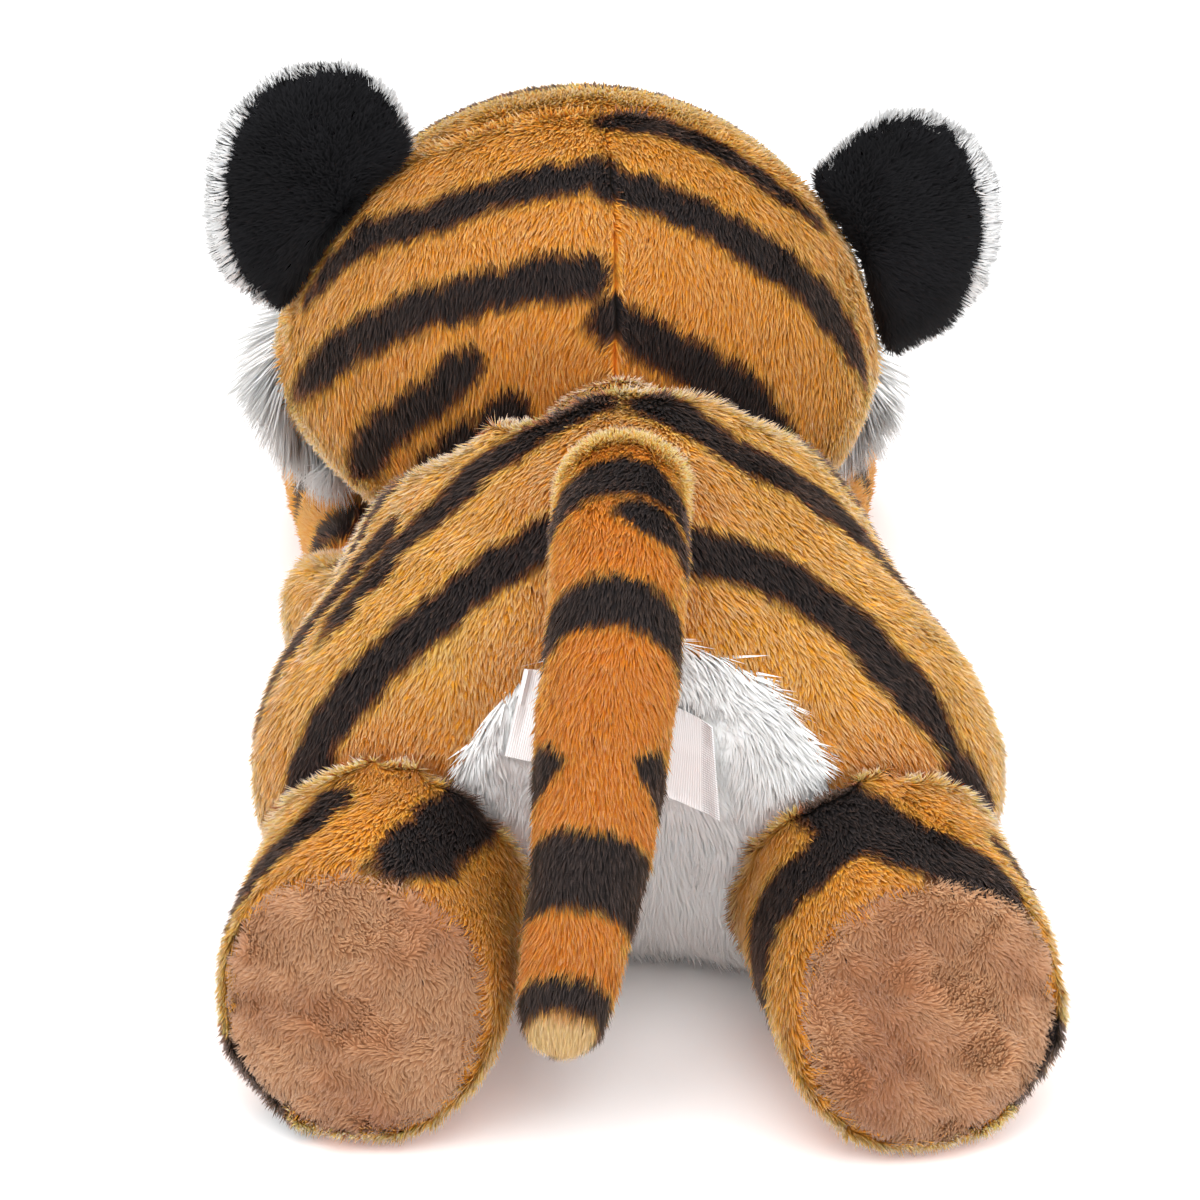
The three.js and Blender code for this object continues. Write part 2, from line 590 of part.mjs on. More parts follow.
function tailSolid(inset, rings, sides) {
  const last = 1 - inset / tailLength;
  const positions = [...tailRoot];
  for (let i = 0; i < rings; i++) {
    const share = last * Math.sin((i / rings) * (Math.PI / 2)) ** 0.9;
    const full = THREE.MathUtils.lerp(tailRadius, tailTipRadius, THREE.MathUtils.smoothstep(share, 0.55, 1)) - inset;
    const toEnd = (last - share) * tailLength;
    const radius = toEnd < full ? Math.sqrt(full ** 2 - (full - toEnd) ** 2) : full;
    const centre = tailCurve.getPointAt(share);
    const tangent = tailCurve.getTangentAt(share);
    const sideways = new THREE.Vector3().crossVectors(tangent, axisZ).normalize();
    for (let j = 0; j < sides; j++) {
      const corner = sideways.clone().applyAxisAngle(tangent, (j / sides) * Math.PI * 2);
      positions.push(...corner.multiplyScalar(radius).add(centre));
    }
  }
  positions.push(...tailCurve.getPointAt(last));
  const tip = positions.length / 3 - 1;
  const index = [];
  for (let j = 0; j < sides; j++) {
    const next = (j + 1) % sides;
    index.push(0, 1 + next, 1 + j, tip, tip - sides + j, tip - sides + next);
    for (let ring = 1; ring < tip - sides; ring += sides) {
      index.push(ring + j, ring + next, ring + sides + j, ring + next, ring + sides + next, ring + sides + j);
    }
  }
  const geometry = new THREE.BufferGeometry();
  geometry.setAttribute('position', new THREE.Float32BufferAttribute(positions, 3));
  geometry.setIndex(index);
  return solidOf(geometry);
}
const tailBodyPart = bodyTakes(tailRoot, axisX, tailRange);
addPiece('tail_cover', tailSolid(0, 16, 12).subtract(tailSolid(plush, 10, 8)).subtract(tailBodyPart), orange);
addPiece('tail_filling', tailSolid(plush + fillGap, 10, 8).subtract(tailBodyPart), fibre);

// A bare label sewn in under the tail, draped against the rump

const labelRay = vector(labelX, labelY, labelLift).sub(bodyMiddle);
const labelSeat = labelRay.clone().multiplyScalar(leaves(bodyForm, bodyMiddle, labelRay)).add(bodyMiddle);
const slope = (axis) => bodyForm(labelSeat.clone().add(axis)) - bodyForm(labelSeat.clone().sub(axis));
const labelOut = vector(slope(axisX), slope(axisY), slope(axisZ)).normalize();
const labelLean = new THREE.Quaternion().setFromUnitVectors(axisY, labelOut);
const label = new THREE.BoxGeometry(labelWidth, labelThick, labelHeight, 6, 1, 2);
label.rotateY(inRadians(-labelTurn));
const labelSpots = label.attributes.position;
for (let i = 0; i < labelSpots.count; i++) {
  const face = labelSpots.getY(i) > 0 ? labelThick : 0;
  const under = vector(labelSpots.getX(i), -plush * 4, labelSpots.getZ(i)).applyQuaternion(labelLean).add(labelSeat);
  const out = labelOut.clone().multiplyScalar(bellyDepth);
  const spot = out.clone().multiplyScalar(leaves(bodyForm, under, out, -labelGap)).add(under);
  labelSpots.setXYZ(i, ...spot.addScaledVector(labelOut, face));
}
addPiece('sewn_label', solidOf(label), satin);

export default group;
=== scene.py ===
import json
import math
import bpy
import numpy as np
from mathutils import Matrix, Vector
from mathutils.bvhtree import BVHTree
from mathutils.kdtree import KDTree

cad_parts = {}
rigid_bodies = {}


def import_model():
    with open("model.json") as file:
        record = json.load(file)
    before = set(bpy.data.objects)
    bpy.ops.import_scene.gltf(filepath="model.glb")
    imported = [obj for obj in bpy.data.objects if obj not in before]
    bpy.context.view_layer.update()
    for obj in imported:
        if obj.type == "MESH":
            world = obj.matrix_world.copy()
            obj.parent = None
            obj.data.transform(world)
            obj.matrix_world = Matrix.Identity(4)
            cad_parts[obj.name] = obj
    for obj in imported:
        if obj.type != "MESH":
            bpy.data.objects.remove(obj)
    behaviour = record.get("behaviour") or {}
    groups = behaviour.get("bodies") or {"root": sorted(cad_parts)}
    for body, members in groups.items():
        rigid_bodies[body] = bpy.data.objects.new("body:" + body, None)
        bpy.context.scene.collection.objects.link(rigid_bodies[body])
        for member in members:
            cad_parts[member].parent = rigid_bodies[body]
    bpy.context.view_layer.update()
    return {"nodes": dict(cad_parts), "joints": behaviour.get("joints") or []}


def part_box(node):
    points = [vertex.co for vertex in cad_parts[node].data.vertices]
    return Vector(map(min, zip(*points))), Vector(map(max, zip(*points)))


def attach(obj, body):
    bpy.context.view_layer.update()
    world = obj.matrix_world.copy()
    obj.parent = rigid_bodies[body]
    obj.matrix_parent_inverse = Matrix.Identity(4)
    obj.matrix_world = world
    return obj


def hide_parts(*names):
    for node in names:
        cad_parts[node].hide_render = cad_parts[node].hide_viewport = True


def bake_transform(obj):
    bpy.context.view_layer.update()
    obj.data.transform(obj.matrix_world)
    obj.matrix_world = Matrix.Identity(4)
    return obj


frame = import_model()
scene = bpy.context.scene
mm = 0.001


# Camera: the photograph's view from behind and above
cameraPlace = {"azimuth": 2.0, "elevation": 33.0, "distance": 1.25, "target": (0.008, 0.020, 0.064),
               "lens": 151.2}


def addCamera(place):
    azimuth, elevation = math.radians(place["azimuth"]), math.radians(place["elevation"])
    back = Vector((math.sin(azimuth) * math.cos(elevation), math.cos(azimuth) * math.cos(elevation),
                   math.sin(elevation)))
    bpy.ops.object.camera_add(location=Vector(place["target"]) + back * place["distance"])
    camera = bpy.context.object
    camera.rotation_euler = (-back).to_track_quat("-Z", "Y").to_euler()
    camera.data.lens = place["lens"]
    camera.data.sensor_width = 36
    camera.data.clip_end = 20
    scene.camera = camera


addCamera(cameraPlace)


# Small helpers for selecting, for edit mode and for reading arrays

def pickNone():
    bpy.ops.object.select_all(action="DESELECT")


def pickOnly(*objects):
    pickNone()
    for one in objects:
        one.select_set(True)
    bpy.context.view_layer.objects.active = objects[-1]


def editAll():
    bpy.ops.object.mode_set(mode="EDIT")
    bpy.ops.mesh.select_all(action="SELECT")


def leaveEdit():
    bpy.ops.object.mode_set(mode="OBJECT")


# Goes into edit mode with only the chosen points or faces of the active object selected

def editChosen(mesh, kind, chosen):
    bpy.ops.object.mode_set(mode="EDIT")
    bpy.ops.mesh.select_mode(type=kind)
    bpy.ops.mesh.select_all(action="DESELECT")
    leaveEdit()
    items = mesh.vertices if kind == "VERT" else mesh.polygons
    items.foreach_set("select", chosen)
    bpy.ops.object.mode_set(mode="EDIT")


def readArray(items, name, width=1, kind=float):
    values = np.empty(len(items) * width, kind)
    items.foreach_get(name, values)
    return values.reshape(-1, width) if width > 1 else values


def pointsOf(mesh):
    return readArray(mesh.vertices, "co", 3)


def normalsOf(mesh):
    return readArray(mesh.vertex_normals, "vector", 3)


def cornersOf(mesh):
    return readArray(mesh.loops, "vertex_index", kind=np.int64)


def facesOf(mesh, name):
    return readArray(mesh.polygons, name, kind=np.int32)


# Which material slot the face of each corner has

def cornerKinds(mesh):
    return np.repeat(facesOf(mesh, "material_index"), facesOf(mesh, "loop_total"))


def putPoints(mesh, places):
    mesh.vertices.foreach_set("co", places.ravel())
    mesh.update()


def unit(ways):
    return ways / np.maximum(np.linalg.norm(ways, axis=-1, keepdims=True), 1e-9)


# Smooth random values of about -1 to 1, with patches of the given size in metres

def waves(places, size, seed):
    source = np.random.default_rng(seed)
    total = np.zeros(len(places))
    for _ in range(9):
        way = source.normal(size=3)
        way *= 2 * math.pi / size / np.linalg.norm(way) * source.uniform(0.6, 1.5)
        total += np.sin(places @ way + source.uniform(0, 2 * math.pi))
    return total / 3


def applyModifier(piece, kind, **settings):
    pickOnly(piece)
    modifier = piece.modifiers.new(kind, kind)
    for key, value in settings.items():
        setattr(modifier, key, value)
    bpy.ops.object.modifier_apply(modifier=modifier.name)


def coat(piece, material):
    piece.data.materials.clear()
    piece.data.materials.append(material)


# Materials, made of nodes

def shaderOf(material):
    return material.node_tree.nodes["Principled BSDF"]


def setInputs(node, values):
    for key, value in values.items():
        node.inputs[key].default_value = value


def newMaterial(name, roughness, sheen=0.0, sheenTint=(1, 1, 1), specular=0.5, glow=0.0):
    material = bpy.data.materials.new(name)
    material.use_nodes = True
    setInputs(shaderOf(material), {
        "Roughness": roughness, "Sheen Weight": sheen, "Sheen Roughness": 0.5, "Sheen Tint": (*sheenTint, 1),
        "Specular IOR Level": specular, "Subsurface Weight": glow, "Subsurface Scale": 2.5 * mm,
        "Subsurface Radius": (1.0, 0.6, 0.4)})
    return material


def addNode(material, kind, **settings):
    node = material.node_tree.nodes.new(kind)
    for key, value in settings.items():
        if key in node.inputs:
            node.inputs[key].default_value = value
        else:
            setattr(node, key, value)
    return node


def wire(material, source, target):
    material.node_tree.links.new(source, target)


# A node that reckons with numbers, vectors or the outputs of other nodes

def reckon(owner, kind, operation, *values):
    node = addNode(owner, kind, operation=operation)
    for socket, value in zip(node.inputs, values):
        if isinstance(value, bpy.types.NodeSocket):
            wire(owner, value, socket)
        else:
            socket.default_value = value
    return node.outputs


def readMark(material, name):
    return addNode(material, "ShaderNodeAttribute", attribute_name=name).outputs["Fac"]


def mixColours(material, share, first, second):
    mix = addNode(material, "ShaderNodeMix", data_type="RGBA")
    for socket, value in ((0, share), (6, first), (7, second)):
        if isinstance(value, (tuple, float, int)):
            mix.inputs[socket].default_value = (*value, 1) if isinstance(value, tuple) else value
        else:
            wire(material, value, mix.inputs[socket])
    return mix.outputs[2]


def between(material, value, low, high, least=0.0, most=1.0):
    spread = addNode(material, "ShaderNodeMapRange", interpolation_type="SMOOTHSTEP")
    setInputs(spread, {"From Min": low, "From Max": high, "To Min": least, "To Max": most})
    wire(material, value, spread.inputs["Value"])
    return spread.outputs["Result"]


def texture(material, kind, output, **settings):
    where = addNode(material, "ShaderNodeTexCoord")
    node = addNode(material, kind, **settings)
    wire(material, where.outputs["Object"], node.inputs["Vector"])
    return node.outputs[output]


def patches(material, scale, detail=2.0, roughness=0.5):
    return texture(material, "ShaderNodeTexNoise", "Fac", Scale=scale, Detail=detail, Roughness=roughness)


def asColour(material, colour):
    wire(material, colour, shaderOf(material).inputs["Base Color"])
    return material


def asBump(material, height, strength, distance):
    bump = addNode(material, "ShaderNodeBump", Strength=strength, Distance=distance)
    wire(material, height, bump.inputs["Height"])
    wire(material, bump.outputs["Normal"], shaderOf(material).inputs["Normal"])
    return material


# Colours of the striped plush, from the root of the pile to its tips and stripes. The dark root is painted shade
# between the tufts, deep and gold are painted sheen in patches, deep is also painted shade near other parts, and
# cream is painted highlight

stripedColours = {
    "root": (0.70, 0.17, 0.010),
    "deep": (0.74, 0.18, 0.009),
    "orange": (0.93, 0.29, 0.011),
    "gold": (0.97, 0.45, 0.055),
    "cream": (0.98, 0.64, 0.27),
    "white": (0.93, 0.92, 0.90),
    "brown": (0.15, 0.045, 0.012),
    "black": (0.006, 0.005, 0.006),
    "blackTip": (0.020, 0.015, 0.014),
}


# Orange plush: painted sheen in patches of deep orange and gold, painted shade near other parts and at the pile's
# roots, painted glints and painted highlight on the tips and pale tufts, and stripes with a brown fringe

def stripedPlush(name, colours, goldShare=0.5):
    material = newMaterial(name, 0.8, sheen=0.08, sheenTint=(1, 0.72, 0.42), specular=0.12, glow=0.5)
    # Patches of deep orange and gold are painted sheen
    sheenPatches = patches(material, 15, 3)
    orange = mixColours(material, between(material, sheenPatches, 0.30, 0.50), colours["deep"], colours["orange"])
    gold = between(material, sheenPatches, 0.74 - 0.3 * goldShare, 0.92 - 0.3 * goldShare)
    orange = mixColours(material, gold, orange, colours["gold"])
    # Deep orange near other parts and the floor is painted shade in the creases
    room = between(material, readMark(material, "room"), 3 * mm, 22 * mm)
    orange = mixColours(material, room, colours["deep"], orange)
    glints = between(material, patches(material, 1700, 1), 0.56, 0.72, most=0.3)
    orange = mixColours(material, glints, orange, colours["cream"])
    # The darker root colour is painted shade between the tufts; cream at the tips and on pale tufts is painted
    # highlight
    tip = readMark(material, "tip")
    light = mixColours(material, between(material, tip, -0.2, 0.6), colours["root"], orange)
    light = mixColours(material, between(material, tip, 0.5, 1.0, most=0.42), light, colours["cream"])
    light = mixColours(material, readMark(material, "pale"), light, colours["cream"])
    light = mixColours(material, readMark(material, "white"), light, colours["white"])
    dark = mixColours(material, tip, colours["black"], colours["blackTip"])
    stripe = readMark(material, "stripe")
    light = mixColours(material, between(material, stripe, 0.02, 0.22, most=0.45), light, colours["gold"])
    fringe = mixColours(material, between(material, stripe, 0.16, 0.58), light, colours["brown"])
    return asColour(material, mixColours(material, between(material, stripe, 0.42, 0.85), fringe, dark))


# Plain plush: the root colour is painted shade between the tufts, the glints are painted highlights, and patches
# of the other colour lie at random
def plainPlush(name, root, tip, other, patchSize=40, sheen=0.3, glow=0.3):
    material = newMaterial(name, 0.85, sheen=sheen, specular=0.15, glow=glow)
    colour = mixColours(material, between(material, patches(material, patchSize, 3), 0.35, 0.7), tip, other)
    glints = between(material, patches(material, 1700, 1), 0.5, 0.75, most=0.35)
    colour = mixColours(material, glints, colour, tuple(min(0.98, part * 1.2) for part in tip))
    return asColour(material, mixColours(material, readMark(material, "tip"), root, colour))


def backingCloth(name, colour):
    material = newMaterial(name, 0.9, specular=0.2)
    weave = texture(material, "ShaderNodeTexVoronoi", "Distance", Scale=900)
    darker = tuple(0.6 * part for part in colour)
    asColour(material, mixColours(material, between(material, weave, 0.1, 0.7), darker, colour))
    return asBump(material, weave, 0.4, 0.3 * mm)


striped = stripedPlush("striped plush", stripedColours)
headStriped = stripedPlush("striped head plush", {**stripedColours, "orange": (0.85, 0.21, 0.007),
                                                  "gold": (0.93, 0.35, 0.030), "cream": (0.96, 0.53, 0.16)})
tailStriped = stripedPlush("striped tail plush", {**stripedColours, "root": (0.56, 0.10, 0.005),
                                                  "deep": (0.70, 0.12, 0.004), "orange": (0.77, 0.14, 0.004),
                                                  "gold": (0.88, 0.25, 0.016), "cream": (0.95, 0.41, 0.10),
                                                  "white": (0.96, 0.54, 0.16)}, goldShare=0.35)
neckStriped = stripedPlush("striped neck plush", {**stripedColours, "root": (0.88, 0.28, 0.014),
                                                  "deep": (0.93, 0.34, 0.022)})
whitePlush = plainPlush("white plush", (0.93, 0.91, 0.88), (0.985, 0.975, 0.95), (0.98, 0.97, 0.945),
                        sheen=0.25, glow=0.2)
# Its grey roots are painted shade between the tufts
shortWhite = plainPlush("short white plush", (0.58, 0.58, 0.58), (0.97, 0.97, 0.965), (0.95, 0.95, 0.945),
                        sheen=0.15, glow=0.12)
blackPlush = plainPlush("black plush", (0.004, 0.004, 0.005), (0.011, 0.011, 0.013), (0.007, 0.007, 0.008),
                        sheen=0.04, glow=0.0)
# The soles' darker brown patches are painted shade of pile brushed the other way
tanPlush = plainPlush("tan sole plush", (0.34, 0.14, 0.06), (0.65, 0.345, 0.175), (0.40, 0.15, 0.07),
                      patchSize=34, sheen=0.15, glow=0.15)
orangeBacking = backingCloth("orange knit backing", (0.72, 0.36, 0.14))
whiteBacking = backingCloth("white knit backing", (0.85, 0.84, 0.82))
print("materials made")


# Skins: the outer form of each stuffed part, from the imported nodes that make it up

def skinFrom(name, nodes, voxel, smoothing=6, swell=0.0):
    copies = []
    for node in nodes:
        copy = frame["nodes"][node].copy()
        copy.data = copy.data.copy()
        copy.parent = None
        for key in list(copy.keys()):
            del copy[key]
        scene.collection.objects.link(copy)
        copies.append(copy)
    pickOnly(*copies)
    if len(copies) > 1:
        bpy.ops.object.join()
    skin = bpy.context.object
    skin.name = name
    skin.data.materials.clear()
    editAll()
    bpy.ops.mesh.remove_doubles(threshold=1e-6)
    bpy.ops.transform.shrink_fatten(value=swell)
    leaveEdit()
    applyModifier(skin, "REMESH", mode="VOXEL", voxel_size=voxel)
    keepOutermost(skin)
    editAll()
    bpy.ops.mesh.vertices_smooth(factor=0.5, repeat=smoothing)
    bpy.ops.mesh.quads_convert_to_tris(quad_method="SHORTEST_DIAGONAL")
    leaveEdit()
    return skin


# Voids inside the skin go: only what hangs together with its outermost point stays

def keepOutermost(skin):
    places = pointsOf(skin.data)
    editChosen(skin.data, "VERT", np.arange(len(places)) == places[:, 0].argmax())
    bpy.ops.mesh.select_linked()
    bpy.ops.mesh.select_all(action="INVERT")
    bpy.ops.mesh.delete(type="VERT")
    leaveEdit()


# The chosen end of a skin turns round and soft, and swells back by what the smoothing took

endSwell = 1.6 * mm


def roundOff(skin, chosen):
    pickOnly(skin)
    editChosen(skin.data, "VERT", chosen(pointsOf(skin.data)))
    bpy.ops.mesh.vertices_smooth(factor=0.5, repeat=20)
    bpy.ops.transform.shrink_fatten(value=endSwell)
    bpy.ops.mesh.vertices_smooth(factor=0.5, repeat=2)
    leaveEdit()


# The skin goes inwards to make room for the pile, but little where another part or the floor is near

sinkFrom = 1.4 * mm           # nearer than this to another part, the skin hardly sinks
sinkOver = 7 * mm             # over this much further it comes to sink fully
lowZone = 8 * mm              # below this height the underside hardly sinks
floorRoom = 0.4 * mm          # the skins stay this far above the floor


def sinkSkin(skin, tree, sink):
    places, ways = pointsOf(skin.data), normalsOf(skin.data)
    away = np.array([tree.find_nearest(place)[3] for place in places])
    depth = sink * (0.1 + 0.9 * np.clip((away - sinkFrom) / sinkOver, 0, 1))
    depth *= 1 - 0.9 * np.clip(-ways[:, 2] * 1.6 - 0.4, 0, 1) * (places[:, 2] < lowZone)
    places -= ways * depth[:, None]
    places[:, 2] = np.maximum(places[:, 2], floorRoom)
    putPoints(skin.data, places)


def trianglesOf(mesh):
    return cornersOf(mesh).reshape(-1, 3)


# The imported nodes' surfaces in one search tree

def treeOf(nodes):
    points, faces = [], []
    for name in nodes:
        mesh = frame["nodes"][name].data
        first = len(points)
        points += [v.co.copy() for v in mesh.vertices]
        faces += [tuple(first + v for v in p.vertices) for p in mesh.polygons]
    return BVHTree.FromPolygons(points, faces)


# Each triangle goes to the nearest node, and points near a seam move onto it

def shareOut(skin, nodes, wrap=None):
    places = pointsOf(skin.data)
    away = np.empty((len(nodes), len(places)))
    for row, node in enumerate(nodes):
        tree = treeOf([node])
        away[row] = [tree.find_nearest(p)[3] for p in places]
    if wrap:
        away[-1] -= wrap(places)
    nearest = away.argmin(0)
    triangles = trianglesOf(skin.data)
    edges = np.unique(np.sort(triangles[:, [0, 1, 1, 2, 2, 0]].reshape(-1, 2), axis=1), axis=0)
    edges = edges[nearest[edges[:, 0]] != nearest[edges[:, 1]]]
    one, other = edges.T
    here, there = nearest[one], nearest[other]
    before = away[here, one] - away[there, one]
    after = away[here, other] - away[there, other]
    share = np.clip(before / np.minimum(before - after, -1e-9), 0, 1)
    crossing = places[one] + (places[other] - places[one]) * share[:, None]
    moved = np.where(share < 0.5, one, other)
    atSeam = np.zeros(len(places), bool)
    atSeam[moved] = True
    sums, counts = np.zeros_like(places), np.zeros(len(places))
    np.add.at(sums, moved, crossing)
    np.add.at(counts, moved, 1)
    newPlaces = places.copy()
    newPlaces[atSeam] = sums[atSeam] / counts[atSeam, None]
    putPoints(skin.data, newPlaces)
    inside = np.where(atSeam, 0, 1)
    votes = np.zeros((len(nodes), len(triangles)))
    for row in range(len(nodes)):
        votes[row] = (away[row][triangles] * (0.05 + inside[triangles])).sum(1)
    return votes.argmin(0), atSeam


def keepValues(mesh, name, values):
    mark = mesh.attributes.get(name) or mesh.attributes.new(name, "FLOAT", "POINT")
    mark.data.foreach_set("value", np.asarray(values, np.float32))


def readValues(mesh, name):
    return readArray(mesh.attributes[name].data, "value", kind=np.float32).astype(float)


def neighbours(sources):
    return treeOf([name for name in frame["nodes"] if name not in sources and "washer" not in name])


# Each point keeps how far the nearest other part and the nearest seam are
# A point on a seam counts as far from it, so that its tufts keep their length and hide the seam

belowFloor = 1.2 * mm         # the floor counts as this far under its surface
farFromSeam = 50 * mm


def markSkin(skin, tree, atSeam):
    places = pointsOf(skin.data)
    room = np.minimum([tree.find_nearest(p)[3] for p in places], np.maximum(places[:, 2], 0) + belowFloor)
    keepValues(skin.data, "room", room)
    seams = KDTree(max(1, int(atSeam.sum())))
    for index in np.flatnonzero(atSeam):
        seams.insert(places[index], int(index))
    seams.balance()
    near = [seams.find(p)[2] or 1 for p in places] if atSeam.any() else np.ones(len(places))
    keepValues(skin.data, "seam", np.minimum(near, farFromSeam))


# A face that other parts or the floor press on from all sides gets no pile

pressedReach = 9 * mm         # how far away another part still presses on a face
overFace = 0.3 * mm           # the rays start this far over it
nearFloor = 3 * mm            # below this height, a ray that goes down meets the floor
rayLeans = [(0, 0), (1.2, 0), (-1.2, 0), (0, 1.2), (0, -1.2),
            (1.8, 1.8), (-1.8, 1.8), (1.8, -1.8), (-1.8, -1.8)]


def hiddenFaces(skin, tree):
    triangles = trianglesOf(skin.data)
    centres = pointsOf(skin.data)[triangles].mean(1)
    ways = unit(normalsOf(skin.data)[triangles].mean(1))
    side = unit(np.cross(ways, np.array([0.31, 0.2, 0.93])))
    other = np.cross(ways, side)
    covered = np.ones(len(centres), bool)
    for one, two in rayLeans:
        rays = unit(ways + side * one + other * two)
        for index in np.flatnonzero(covered):
            start, ray = centres[index] + ways[index] * overFace, rays[index]
            toFloor = start[2] < nearFloor and ray[2] < -0.1
            covered[index] = toFloor or tree.ray_cast(start, ray, pressedReach)[0] is not None
    return covered


# Cloth with a little pressure inside: the cover swells between its pinned seams

clothRun = {"steps": 14, "quality": 4, "mass": 0.2, "pinnedRoom": 2.5 * mm}


def puffUp(skin, pinned, pressure, cap):
    rest = pointsOf(skin.data)
    group = skin.vertex_groups.new(name="pin")
    group.add([int(i) for i in np.flatnonzero(pinned)], 1.0, "REPLACE")
    pickOnly(skin)
    cloth = skin.modifiers.new("Cloth", "CLOTH")
    cloth.settings.use_pressure = True
    cloth.settings.uniform_pressure_force = pressure
    cloth.settings.effector_weights.gravity = 0
    cloth.settings.quality = clothRun["quality"]
    cloth.settings.mass = clothRun["mass"]
    cloth.settings.vertex_group_mass = "pin"
    for step in range(1, clothRun["steps"] + 1):
        scene.frame_set(step)
    bpy.ops.object.modifier_apply(modifier=cloth.name)
    scene.frame_set(1)
    shift = pointsOf(skin.data) - rest
    far = np.linalg.norm(shift, axis=1, keepdims=True)
    shift *= np.minimum(1, cap / np.maximum(far, 1e-9))
    outward = (shift * normalsOf(skin.data)).sum(1, keepdims=True)
    shift -= normalsOf(skin.data) * np.minimum(outward, 0)
    putPoints(skin.data, rest + shift)


# One sewn panel of the skin as a closed piece: cover outside, knit backing inside and along the seam

def cutOut(skin, owner, row, name, hidden, thickness, backing, cover):
    pickOnly(skin)
    bpy.ops.object.duplicate()
    piece = bpy.context.object
    piece.name = name
    piece.data.name = name
    for material in (cover, backing, cover):
        piece.data.materials.append(material)
    editChosen(piece.data, "FACE", owner != row)
    if (owner != row).any():
        bpy.ops.mesh.delete(type="FACE")
    leaveEdit()
    outside = len(piece.data.polygons)
    applyModifier(piece, "SOLIDIFY", thickness=thickness, offset=-1, use_rim=True)
    kinds = np.ones(len(piece.data.polygons), np.int32)
    kinds[:outside] = np.where(hidden[owner == row], 2, 0)
    piece.data.polygons.foreach_set("material_index", kinds)
    return piece


# The kinds of face are 0 for cover with pile, 1 for backing and 2 for cover that is pressed bare

def pickCover(piece, cover=(0,)):
    editChosen(piece.data, "FACE", np.isin(facesOf(piece.data, "material_index"), cover))


# The piece's own map: cover above, backing in a narrow band below

backingBand = {"height": 0.10, "coverFrom": 0.12}


def mapPiece(piece):
    layer = piece.data.uv_layers.get("OFBake") or piece.data.uv_layers.new(name="OFBake")
    layer.active = True
    for cover in ((0, 2), (1,)):
        pickOnly(piece)
        pickCover(piece, cover)
        bpy.ops.uv.smart_project(angle_limit=1.15, island_margin=0.004, scale_to_bounds=True)
        leaveEdit()
    layer = piece.data.uv_layers["OFBake"]
    spots = readArray(layer.data, "uv", 2)
    above = backingBand["coverFrom"] + spots[:, 1] * (1 - backingBand["coverFrom"])
    spots[:, 1] = np.where(cornerKinds(piece.data) == 1, spots[:, 1] * backingBand["height"], above)
    layer.data.foreach_set("uv", np.clip(spots, 0, 1).ravel())


# Tufts, one on every small face of the cover

tufts = {
    "scatter": 0.28,          # how far their roots are shifted, as a share of their spacing
    "flattest": 84,           # the most that one leans, in degrees
    "clear": 0.5 * mm,        # how far they end before another part
    "least": 0.6 * mm,        # how high they stand at least
    "overFloor": 0.2 * mm,
    "wander": (5, 0.6),       # how the locks' cells are bent: length of the waves and how far, in cells
    "tipSpread": 0.35,        # how much the tips' shade differs
    "bare": {"tip": 0.6, "pale": 0.4},  # the marks of cover without tufts
}


# The cover's points are evened out and then shifted along it at random, so that the roots stand in no rows

def scatterRoots(piece, spacing, cuts, source):
    pickOnly(piece)
    pickCover(piece)
    bpy.ops.mesh.subdivide(number_cuts=cuts)
    bpy.ops.mesh.quads_convert_to_tris()
    leaveEdit()
    corners, withPile = cornersOf(piece.data), cornerKinds(piece.data) == 0
    used = np.zeros(len(piece.data.vertices), bool)
    used[corners[withPile]] = True
    middle = used.copy()
    middle[corners[~withPile]] = False
    editChosen(piece.data, "VERT", middle)
    bpy.ops.mesh.vertices_smooth(factor=0.5, repeat=4)
    leaveEdit()
    ways, places = normalsOf(piece.data), pointsOf(piece.data)
    step = tufts["scatter"] * spacing
    shift = source.uniform(-step, step, places.shape)
    shift -= ways * (shift * ways).sum(1, keepdims=True)
    places += shift * middle[:, None]
    putPoints(piece.data, places)
    return places, ways, used


# Each tuft is a point over its face: its number for each of its sides, and the two points at that side's foot

def raiseTufts(piece, before):
    pickCover(piece)
    bpy.ops.mesh.poke()
    leaveEdit()
    starts = facesOf(piece.data, "loop_start")[facesOf(piece.data, "loop_total") == 3]
    fan = cornersOf(piece.data)[starts[:, None] + np.arange(3)]
    fan = fan[(fan >= before).any(1)]
    return fan.max(1) - before, fan[fan < before].reshape(-1, 2)


# Tips in the same small cell draw together to a lock

def drawTogether(tip, base, cell, pull):
    length, far = tufts["wander"]
    bent = base + np.stack([waves(base, cell * length, seed) for seed in (21, 22, 23)], 1) * cell * far
    _, member, total = np.unique(np.floor(bent / cell), axis=0, return_inverse=True, return_counts=True)
    member = member.ravel()
    centre = np.zeros((len(total), 3))
    np.add.at(centre, member, tip)
    centre /= total[:, None]
    return tip + (centre[member] - tip) * pull


# The pile of a piece: flow gives its lay and paint its stripes

